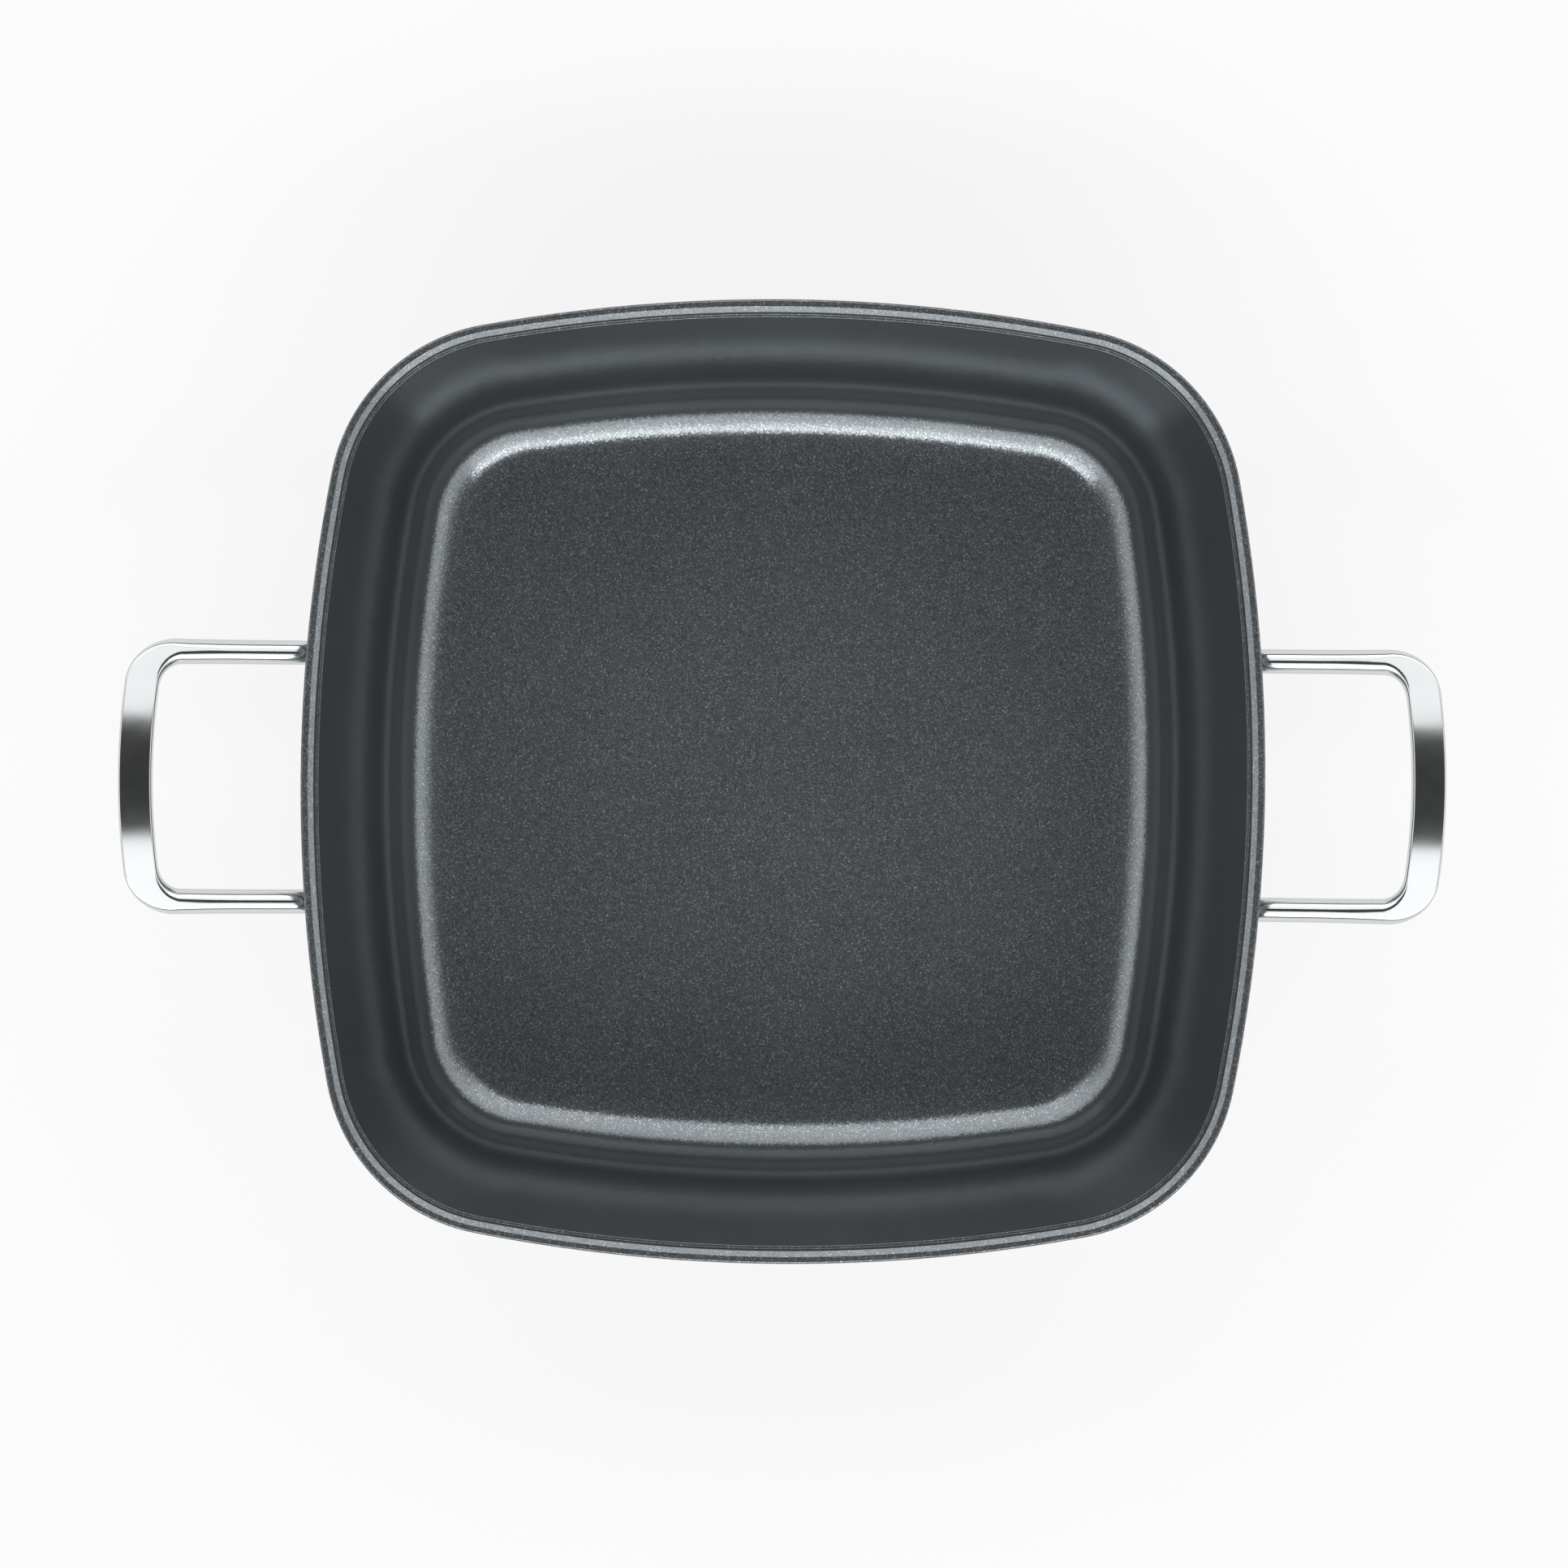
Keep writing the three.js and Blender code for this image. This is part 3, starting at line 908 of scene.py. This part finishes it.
@dataclass
class ScrewSeats:
    """Four handle screws and what they clamp, stacked outwards from the pan's wall along its normal."""

    pan: PanBody
    arm_offset: float = 0.037
    root_drop: float = 0.0185
    screw_drop: float = 0.017
    boss_radius: float = 0.0075
    boss_draft: float = 0.0006
    boss_height: float = 0.003
    boss_edge: float = 0.0004
    blind_wall: float = 0.0016
    screw_radius: float = 0.0025
    shank_clearance: float = 0.0003
    tip_clearance: float = 0.0004
    foot_thickness: float = 0.0034
    washer_thickness: float = 0.0012
    gap: float = 0.0003
    overrun: float = 0.001
    sides: int = 48
    sag: float = 0.000008

    def arms(self) -> tuple[float, float]:
        """Distances of a handle's two arms from mid-side."""
        return (-self.arm_offset, self.arm_offset)

    def foot_back(self) -> float:
        """Distance of the foot's back from the wall."""
        return self.boss_height + self.gap

    def foot_middle(self) -> float:
        """Distance of the foot's middle plane from the wall."""
        return self.foot_back() + self.foot_thickness / 2

    def washer_back(self) -> float:
        """Distance of the washer's back from the wall."""
        return self.foot_back() + self.foot_thickness + self.gap

    def head_back(self) -> float:
        """Distance of the screw head's back from the wall."""
        return self.washer_back() + self.washer_thickness + self.gap

    def bore(self) -> float:
        """Radius of the holes that the screw's shank passes."""
        return self.screw_radius + self.shank_clearance

    def normal(self) -> Vector:
        """Outward normal of the right wall."""
        return Vector((math.cos(self.pan.lean()), 0, -math.sin(self.pan.lean())))

    def down(self) -> Vector:
        """Way down the right wall."""
        return Vector((-math.sin(self.pan.lean()), 0, -math.cos(self.pan.lean())))

    def wall_point(self) -> Vector:
        """Finds where the axis of the right back screw meets the wall.

        Returns:
            Point of the outer wall.
        """
        height = self.pan.height - self.root_drop
        z = height + self.down().z * self.screw_drop - self.normal().z * self.foot_middle()
        return Vector((self.pan.outside_at(z, self.arm_offset), self.arm_offset, z))

    def root(self) -> Vector:
        """Point where the axis of the right back arm meets the line of its foot."""
        return self.wall_point() + self.normal() * self.foot_middle() - self.down() * self.screw_drop

    def place(self, side: Side, y: float, lift: float = 0.0) -> Matrix:
        """Finds a place on a screw's axis.

        Args:
            side: Side of the pan.
            y: Distance of the arm from mid-side, before the turn to the side.
            lift: Distance from the wall.

        Returns:
            Matrix that takes the Z axis to the screw's axis.
        """
        point = self.wall_point()
        point.y = y
        turn = Vector(UP).rotation_difference(self.normal()).to_matrix().to_4x4()
        spot = Matrix.Translation(point + self.normal() * lift) @ turn
        return Matrix.Rotation(side.value, 4, "Z") @ spot

    def places(self) -> list[Matrix]:
        """Places of the four seats on the wall."""
        return [self.place(side, y) for side in Side for y in self.arms()]

    def boss(self, depth: float) -> bpy.types.Object:
        """Makes a boss that stands on the wall.

        Args:
            depth: How far the boss goes into the wall.

        Returns:
            The boss at the origin.
        """
        foot = self.boss_radius + self.boss_draft
        corners = [
            Corner(0, -depth),
            Corner(foot, -depth),
            Corner(foot, 0),
            Corner(self.boss_radius, self.boss_height, self.boss_edge),
            Corner(0, self.boss_height),
        ]
        return turned("boss", corners, self.sag, self.sides)

    def hole(self, start: float, end: float) -> bpy.types.Object:
        """Makes the round tool that cuts a screw's hole.

        Args:
            start: Distance of the hole's inner end from the wall.
            end: Distance of the face that the hole opens.

        Returns:
            The tool at the origin.
        """
        bore = self.bore()
        top = end + self.overrun
        corners = [Corner(0, start), Corner(bore, start), Corner(bore, top), Corner(0, top)]
        return turned("hole", corners, self.sag, self.sides)

    def fit(
        self, model: bpy.types.Object, lift: float, names: tuple[str, str], slot: Slot, finish: TurnedMetal
    ) -> list[bpy.types.Object]:
        """Puts a copy of a model on each screw's axis, dresses the copies and removes the model.

        Args:
            model: Fixing at the origin, along Z.
            lift: Distance of its back from the wall.
            names: What the names of the pieces and of their CAD nodes start with.
            slot: Record's slot that the finish belongs to.
            finish: Finish of the pieces.

        Returns:
            The four pieces.
        """
        pieces = []
        material = finish.material()
        for side in Side:
            for y in self.arms():
                end = "front" if y * math.cos(side.value) < 0 else "back"
                piece, node = (f"{name}_{side.name}_{end}" for name in names)
                made = copy_of(model, piece)
                settle(made, self.place(side, y, lift))
                dress(made, node, slot, material)
                pieces.append(made)
        bpy.data.objects.remove(model)
        return pieces


@dataclass
class InductionBase:
    """Magnetic steel sheet set flush in the pan's underside."""

    pan: PanBody
    finish: PressedBaseSteel = PressedBaseSteel()
    edge: float = 0.0002

    def build(self) -> bpy.types.Object:
        """Makes the sheet with the pan's own outline, and dresses it.

        Returns:
            The sheet.
        """
        half = self.pan.sheet_half
        top = self.pan.sheet_thickness
        hold = half - self.pan.flat_hold
        edges = [Corner(half, top, self.edge), Corner(half, 0, self.edge)]
        section = rounded([Corner(hold, top), *edges, Corner(hold, 0)], self.pan.sag)
        made = self.pan.steps.shell("base_sheet", self.pan.outline, section)
        keep_flat(made)
        dress(made, "induction_base", Slot.BASE, self.finish.material())
        return made


@dataclass(frozen=True)
class BarSection:
    """Rounded rectangle across the handle's bar."""

    width: float
    thickness: float
    edge: float

    def blend(self, other: "BarSection", part: float) -> "BarSection":
        """Makes the section part of the way to another one, eased at both ends.

        Args:
            other: Section at the end of the way.
            part: Part of the way.

        Returns:
            The section in between.
        """
        share = smoothstep(part)
        return BarSection(
            lerp(self.width, other.width, share),
            lerp(self.thickness, other.thickness, share),
            lerp(self.edge, other.edge, share),
        )


@dataclass(frozen=True)
class Station:
    """Place along the bar, with its heading in plan, its pitch, its section and how far that is twisted."""

    at: Vector
    heading: float
    pitch: float
    section: BarSection
    twist: float = 0.0

    def axes(self) -> Matrix:
        """Turns the section to its place.

        Returns:
            Matrix with the axes across the bar, up and along in its columns.
        """
        turn, tilt = self.heading, self.pitch
        across = Vector((-math.sin(turn), math.cos(turn), 0))
        along = Vector((math.cos(tilt) * math.cos(turn), math.cos(tilt) * math.sin(turn), math.sin(tilt)))
        twisted = Matrix.Rotation(self.twist, 3, along) @ across
        return Matrix((twisted, along.cross(twisted), along)).transposed()


@dataclass
class HandleBar:
    """Steel bar bent to a loop: bowed flat grip, round arms and flat feet behind their screws."""

    seats: ScrewSeats
    finish: PolishedSteel = PolishedSteel()
    reach: float = 0.196
    grip_bow: float = 0.250
    grip_corner: float = 0.011
    arm_rise: float = math.radians(10)
    root_bend: float = 0.007
    grip: BarSection = BarSection(width=0.0098, thickness=0.0056, edge=0.0008)
    arm: BarSection = BarSection(width=0.0072, thickness=0.0072, edge=0.0036)
    foot_width: float = 0.013
    foot_edge: float = 0.0011
    blend_run: float = 0.020
    corner_blend: float = 0.8
    corner_twist: float = math.radians(8)
    # Just under 1, so that the roundings of a round arm don't meet
    edge_share: float = 0.999
    edge_steps: int = 16
    grip_steps: int = 16
    corner_steps: int = 18
    arm_steps: int = 12
    bend_steps: int = 12
    foot_steps: int = 6
    foot_end_steps: int = 8

    def foot(self) -> BarSection:
        """Section of the foot."""
        return BarSection(self.foot_width, self.seats.foot_thickness, self.foot_edge)

    def ring_count(self) -> int:
        """Vertices round a section, in the roundings of its four edges."""
        return 4 * (self.edge_steps + 1)

    def loop(self) -> list[Station]:
        """Runs along the back half of the right handle's grip and round its corner.

        Returns:
            Stations in order, from mid-grip to where the arm starts.
        """
        stations = []
        root = self.seats.root()
        bow_centre = self.reach - self.grip.width / 2 - self.grip_bow
        corner_y = self.seats.arm_offset - self.grip_corner
        corner_reach = self.grip_bow - self.grip_corner
        corner_x = bow_centre + math.sqrt(corner_reach**2 - corner_y**2)
        bow_turn = math.asin(corner_y / corner_reach)
        arch = self.grip_bow * bow_turn / math.sin(self.arm_rise)
        slope = math.tan(self.arm_rise)
        corner_end = root.z + (corner_x - root.x) * slope
        corner_run = self.grip_corner * (QUARTER_TURN - bow_turn)
        grip_end = corner_end + corner_run * slope
        arch_foot = grip_end - arch * math.cos(self.arm_rise)
        for i in range(self.grip_steps + 1):
            angle = bow_turn * i / self.grip_steps
            pitch = -math.asin(self.grip_bow * angle / arch)
            x = bow_centre + self.grip_bow * math.cos(angle)
            y = self.grip_bow * math.sin(angle)
            z = arch_foot + arch * math.cos(pitch)
            stations.append(Station(Vector((x, y, z)), angle + QUARTER_TURN, pitch, self.grip))
        for i in range(1, self.corner_steps + 1):
            part = i / self.corner_steps
            angle = lerp(bow_turn, QUARTER_TURN, part)
            x = corner_x + self.grip_corner * math.cos(angle)
            y = corner_y + self.grip_corner * math.sin(angle)
            at = Vector((x, y, lerp(grip_end, corner_end, part)))
            section = self.grip.blend(self.arm, part * self.corner_blend)
            twist = self.corner_twist * math.sin(part * QUARTER_TURN)
            stations.append(Station(at, angle + QUARTER_TURN, -self.arm_rise, section, twist))
        return stations

    def leg(self, start: Vector) -> list[Station]:
        """Runs along the right back arm and down its foot.

        Args:
            start: Where the arm starts, at the end of the loop.

        Returns:
            Stations in order, from past the start to the end of the foot.
        """
        stations = []
        seats, foot = self.seats, self.foot()
        root, down = seats.root(), seats.down()
        turn = QUARTER_TURN - seats.pan.lean()
        bend = turn - self.arm_rise
        tangent = self.root_bend * math.tan(bend / 2)
        half_bend = self.root_bend * bend / 2
        flat_start = seats.screw_drop - seats.boss_radius - seats.boss_draft
        flattening = half_bend + flat_start - tangent
        outward = Vector((math.cos(self.arm_rise), 0, math.sin(self.arm_rise)))
        bend_start = root + outward * tangent
        bend_centre = bend_start + self.root_bend * Vector((outward.z, 0, -outward.x))
        for i in range(1, self.arm_steps):
            at = start.lerp(bend_start, i / self.arm_steps)
            along = min((at - start).length / self.blend_run, 1.0)
            section = self.grip.blend(self.arm, lerp(self.corner_blend, 1.0, along))
            twist = lerp(self.corner_twist, 0.0, along)
            stations.append(Station(at, HALF_TURN, -self.arm_rise, section, twist))
        for i in range(self.bend_steps + 1):
            part = i / self.bend_steps
            pitch = -lerp(self.arm_rise, turn, part)
            at = bend_centre + self.root_bend * Vector((math.sin(pitch), 0, math.cos(pitch)))
            past = max(0.0, (2 * part - 1) * half_bend)
            stations.append(Station(at, HALF_TURN, pitch, self.arm.blend(foot, past / flattening)))
        for i in range(1, self.foot_steps + 1):
            part = i / self.foot_steps
            at = root + down * lerp(tangent, flat_start, part)
            section = self.arm.blend(foot, lerp(half_bend / flattening, 1, part))
            stations.append(Station(at, HALF_TURN, -turn, section))
        for i in range(self.foot_end_steps + 1):
            angle = QUARTER_TURN * i / (self.foot_end_steps + 1)
            at = root + down * (seats.screw_drop + foot.width / 2 * math.sin(angle))
            section = replace(foot, width=foot.width * math.cos(angle))
            stations.append(Station(at, HALF_TURN, -turn, section))
        return stations

    def ring(self, station: Station) -> None:
        """Adds the bar's outline at a station to the mesh in edit mode.

        Args:
            station: Place along the bar.
        """
        axes = station.axes()
        section = station.section
        bpy.ops.mesh.primitive_plane_add(size=section.width, location=station.at, rotation=axes.to_euler())
        bpy.ops.transform.resize(
            value=(1, section.thickness / section.width, 1),
            orient_type="GLOBAL",
            orient_matrix=axes,
            orient_matrix_type="GLOBAL",
            center_override=station.at,
        )
        edge = section.edge * self.edge_share
        bpy.ops.mesh.bevel(offset=edge, affect="VERTICES", segments=self.edge_steps, profile=ROUND_PROFILE)
        bpy.ops.mesh.delete(type="ONLY_FACE")

    def model(self) -> bpy.types.Object:
        """Makes the right handle, drilled for its two screws.

        Returns:
            The handle in its place.
        """
        made = open_mesh("bent_bar_right")
        loop = self.loop()
        loft(made, self.ring, [*loop, *self.leg(loop[-1].at)], self.ring_count())
        select_newest(made, self.ring_count())
        bpy.ops.mesh.edge_face_add()
        bpy.ops.object.mode_set(mode="OBJECT")
        apply_modifier(made, "MIRROR", use_axis=(False, True, False), merge_threshold=WELD)
        bpy.ops.object.mode_set(mode="EDIT")
        close_mesh(made)
        seats = self.seats
        for y in seats.arms():
            tool = seats.hole(seats.foot_back() - seats.overrun, seats.washer_back())
            settle(tool, seats.place(Side.right, y))
            combine(made, tool, "DIFFERENCE")
        return made

    def build(self) -> list[bpy.types.Object]:
        """Makes both handles and dresses them.

        Returns:
            The right and the left handle.
        """
        right = self.model()
        left = copy_of(right, "bent_bar_left")
        settle(left, Matrix.Rotation(Side.left.value, 4, "Z"))
        steel = self.finish.material()
        dress(right, "handle_right", Slot.HANDLE, steel)
        dress(left, "handle_left", Slot.HANDLE, steel)
        return [right, left]


@dataclass
class ButtonScrew:
    """Button-head screw with a hexagon socket, standing on the underside of its head."""

    seats: ScrewSeats
    finish: TurnedMetal = TurnedMetal("rolled_screw_steel", colour="b2b4b6", roughness=0.28)
    head_radius: float = 0.00475
    head_height: float = 0.00275
    head_rim: float = 0.0008
    socket_sides: int = 6
    socket_flats: float = 0.003
    socket_depth: float = 0.0015
    edge: float = 0.00015
    tip_edge: float = 0.0003
    dome_steps: int = 8

    def model(self) -> bpy.types.Object:
        """Makes one screw.

        Returns:
            The screw at the origin.
        """
        seats = self.seats
        shank = seats.screw_radius
        tip = seats.blind_wall - seats.pan.wall_thickness + seats.tip_clearance - seats.head_back()
        socket = self.socket_flats / 2 / math.cos(math.pi / self.socket_sides)
        flat = socket + self.head_rim
        corners = [
            Corner(0, tip),
            Corner(shank, tip, self.tip_edge),
            Corner(shank, 0, self.edge),
            Corner(self.head_radius, 0, self.edge),
        ]
        for i in range(self.dome_steps + 1):
            angle = QUARTER_TURN * i / self.dome_steps
            out = lerp(flat, self.head_radius, math.cos(angle))
            corners.append(Corner(out, lerp(self.head_rim, self.head_height, math.sin(angle))))
        corners.append(Corner(0, self.head_height))
        made = turned("screw", corners, seats.sag, seats.sides)
        bpy.ops.object.select_all(action="DESELECT")
        bpy.ops.mesh.primitive_cylinder_add(
            vertices=self.socket_sides,
            radius=socket,
            depth=2 * self.socket_depth,
            location=(0, 0, self.head_height),
        )
        combine(made, bpy.context.object, "DIFFERENCE")
        keep_flat(made)
        return made

    def build(self) -> list[bpy.types.Object]:
        """Makes the four screws and dresses them."""
        names = ("button_screw", "screw")
        return self.seats.fit(self.model(), self.seats.head_back(), names, Slot.SCREW, self.finish)


@dataclass
class SpringWasher:
    """Split spring washer, lying on its back."""

    seats: ScrewSeats
    finish: TurnedMetal = TurnedMetal("spring_steel", colour="8f9194", roughness=0.38)
    radius: float = 0.005
    slit: float = 0.001
    edge: float = 0.0001
    edge_steps: int = 2
    steps: int = 44

    def model(self) -> bpy.types.Object:
        """Makes one washer, with its slit towards X.

        Returns:
            The washer at the origin.
        """
        bore = self.seats.bore()
        height = self.seats.washer_thickness
        middle = Vector(((bore + self.radius) / 2, 0, height / 2))
        made = open_mesh("washer")
        upright = Euler((QUARTER_TURN, 0, 0))
        bpy.ops.mesh.primitive_plane_add(size=height, location=middle, rotation=upright)
        bpy.ops.transform.resize(value=((self.radius - bore) / height, 1, 1), center_override=middle)
        bpy.ops.mesh.bevel(
            offset=self.edge, affect="VERTICES", segments=self.edge_steps, profile=ROUND_PROFILE
        )
        half_slit = self.slit / 2 / middle.x
        turn = FULL_TURN - 2 * half_slit
        bpy.ops.mesh.spin(steps=self.steps, angle=-turn, center=ORIGIN, axis=UP)
        close_mesh(made)
        settle(made, Matrix.Rotation(half_slit, 4, "Z"))
        keep_flat(made)
        return made

    def build(self) -> list[bpy.types.Object]:
        """Makes the four washers and dresses them."""
        names = ("spring_washer", "lock_washer")
        return self.seats.fit(self.model(), self.seats.washer_back(), names, Slot.WASHER, self.finish)


@dataclass(frozen=True)
class LightZone:
    """Sector of the room, with the light that comes from it at angles from the zenith.

    A level is an angle in degrees and the radiance there, where 1 is white. The sector lies about a way
    in plan, or all round where it has none. Its edges are cosines of the turn from that way, from where
    the zone starts to show to where it shows alone.
    """

    levels: tuple[tuple[float, float], ...]
    way: tuple[float, float, float] | None = None
    edges: tuple[float, float] = (0.0, 1.0)


@dataclass
class Studio:
    """Pale floor, soft white room that is dark overhead, three panel lamps and the camera."""

    pan: PanBody
    floor_size: float = 40.0
    floor_colour: str = "f4f4f4"
    floor_glow: float = 0.8
    zones: tuple[LightZone, ...] = (
        LightZone(((0, 0.04), (33, 0.06), (41, 0.3), (49.5, 1.1), (55.5, 1.7), (64.6, 1.6))),
        LightZone(
            ((0, 0.04), (37.3, 0.06), (39.3, 2.5), (48, 2.4), (57.5, 2.1), (64.6, 1.8)),
            way=(0, 1, 0),
            edges=(0.4, 0.95),
        ),
        LightZone(
            ((0, 0.04), (38.2, 0.06), (39.7, 5.6), (46.5, 5.0), (51.5, 2.8), (64.6, 2.0)),
            way=(0, -1, 0),
            edges=(0.65, 0.71),
        ),
    )
    # Every zone ends with these levels
    horizon: tuple[tuple[float, float], ...] = ((66.4, 0.1), (75, 0.1), (79, 0.9))
    brightest: float = 6.0
    strip_height: float = 1.25
    strip_end: float = math.radians(33)
    strip_length: float = 1.4
    front_start: float = math.radians(14.2)
    front_light: float = 1.35
    back_start: float = math.radians(12.4)
    back_light: float = 1.2
    top_height: float = 2.2
    top_end: float = math.radians(34.5)
    top_light: float = 0.13
    camera_offset: tuple[float, float] = (-0.0203, 0.0266)
    camera_height: float = 1.5
    camera_aim: tuple[float, float] = (0.00014, -0.00045)
    camera_roll: float = math.radians(0.52)
    lens_mm: float = 117.1
    sensor_mm: float = 36.0

    def build(self, polished: list[bpy.types.Object], coated: list[bpy.types.Object]) -> None:
        """Makes the whole studio.

        Args:
            polished: Pieces that the strip lamps are for.
            coated: Pieces that the dim lamp straight above is for.
        """
        scene = bpy.context.scene
        scene.view_settings.view_transform = "Standard"
        self.floor()
        self.room()
        strips = (
            ("front_strip", -1, self.front_start, self.front_light),
            ("back_strip", 1, self.back_start, self.back_light),
        )
        for name, way, start, light in strips:
            near, far = (self.strip_height * math.tan(angle) for angle in (start, self.strip_end))
            middle = Vector((0, way * (near + far) / 2, self.strip_height))
            self.panel(name, (self.strip_length, far - near), middle, light, polished)
        top = 2 * self.top_height * math.tan(self.top_end)
        self.panel("top_panel", (top, top), Vector((0, 0, self.top_height)), self.top_light, coated)
        scene.camera = self.camera()

    def floor(self) -> None:
        """Lays the pale floor, which keeps the shadow and shows nearly white to camera and mirrors."""
        bpy.ops.object.select_all(action="DESELECT")
        bpy.ops.mesh.primitive_plane_add(size=self.floor_size)
        floor = bpy.context.object
        floor.name = "floor"
        material, add = new_material("pale_floor")
        matt = add("BsdfDiffuse", {"Color": linear(self.floor_colour)})
        white = add("Emission", {"Strength": 1.0})
        path = add("LightPath")
        seen = path.outputs["Is Camera Ray"]
        for kind in ("Is Glossy Ray", "Is Transmission Ray"):
            seen = add("Math", {0: seen, 1: path.outputs[kind]}, operation="MAXIMUM")
        share = add("Math", {0: seen, 1: self.floor_glow}, operation="MULTIPLY")
        mixed = add("MixShader", {0: share, 1: matt, 2: white})
        add("OutputMaterial", {"Surface": mixed})
        floor.data.materials.append(material)

    def room(self) -> None:
        """Lights the room by bands of height all round, dark overhead."""
        world = bpy.data.worlds.new("studio")
        bpy.context.scene.world = world
        world.use_nodes = True
        world.node_tree.nodes.clear()
        add = partial(add_node, world.node_tree)
        way = add("TexCoord").outputs["Generated"]
        rise = add("SeparateXYZ", {0: way}).outputs["Z"]
        level = add("VectorMath", {0: way, 1: IN_PLAN}, operation="MULTIPLY")
        out = add("VectorMath", {0: level}, operation="LENGTH").outputs["Value"]
        angle = add("Math", {0: out, 1: rise}, operation="ARCTAN2")
        fall = add("Math", {0: angle, 1: QUARTER_TURN}, operation="DIVIDE")
        heading = add("VectorMath", {0: level}, operation="NORMALIZE")
        light = None
        for zone in self.zones:
            ramp = add("ValToRGB", {0: fall})
            marks = ramp.color_ramp.elements
            marks.remove(marks[-1])
            for number, (degrees, radiance) in enumerate(zone.levels + self.horizon):
                mark = marks[0] if number == 0 else marks.new(math.radians(degrees) / QUARTER_TURN)
                mark.color = grey(radiance / self.brightest)
            if zone.way is None:
                light = ramp.outputs[0]
                continue
            facing = add("VectorMath", {0: heading, 1: zone.way}, operation="DOT_PRODUCT").outputs["Value"]
            share = add(
                "MapRange",
                {"Value": facing, "From Min": zone.edges[0], "From Max": zone.edges[1]},
                interpolation_type="SMOOTHSTEP",
            )
            mixed = add("Mix", {0: share, MIX_FIRST: light, MIX_SECOND: ramp}, data_type="RGBA")
            light = mixed.outputs[MIX_RESULT]
        glow = add("Background", {"Color": light, "Strength": self.brightest})
        add("OutputWorld", {"Surface": glow})

    def panel(
        self, name: str, size: tuple[float, float], place: Vector, light: float, lit: list[bpy.types.Object]
    ) -> None:
        """Hangs a soft panel lamp, level, over the pieces that it lights.

        Args:
            name: Lamp's name.
            size: Lamp's size along X and Y.
            place: Lamp's middle.
            light: Lamp's radiance, where 1 is white.
            lit: Pieces that the lamp lights. It lights no others.
        """
        data = bpy.data.lights.new(name, "AREA")
        data.shape = "RECTANGLE"
        data.size, data.size_y = size
        data.energy = light * math.pi * data.size * data.size_y
        lamp = bpy.data.objects.new(name, data)
        bpy.context.collection.objects.link(lamp)
        lamp.location = place
        pieces = bpy.data.collections.new(name)
        for piece in lit:
            pieces.objects.link(piece)
        lamp.light_linking.receiver_collection = pieces

    def camera(self) -> bpy.types.Object:
        """Makes the camera, nearly straight above the pan and turned a little about its axis.

        Returns:
            The camera.
        """
        rim = self.pan.height
        place = Vector((*self.camera_offset, rim + self.camera_height))
        ahead = (Vector((*self.camera_aim, rim)) - place).normalized()
        up = Vector((-math.sin(self.camera_roll), math.cos(self.camera_roll), 0))
        right = ahead.cross(up).normalized()
        data = bpy.data.cameras.new("camera")
        data.lens = self.lens_mm
        data.sensor_width = self.sensor_mm
        data.clip_end = self.floor_size
        camera = bpy.data.objects.new("camera", data)
        bpy.context.collection.objects.link(camera)
        turn = Matrix((right, right.cross(ahead), -ahead)).transposed()
        camera.matrix_world = Matrix.Translation(place) @ turn.to_4x4()
        return camera


def main() -> None:
    """Builds the pan's pieces and the studio, and logs the number of faces of each piece."""
    logging.basicConfig(level=logging.INFO)
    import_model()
    pan = PanBody()
    seats = ScrewSeats(pan)
    body = pan.build(seats)
    base = InductionBase(pan).build()
    handles = HandleBar(seats).build()
    screws = ButtonScrew(seats).build()
    washers = SpringWasher(seats).build()
    for piece in (body, base, *handles, *screws, *washers):
        log.info("%s: %d faces", piece.name, len(piece.data.polygons))
    Studio(pan).build(handles, [body])


if __name__ == "__main__":
    main()
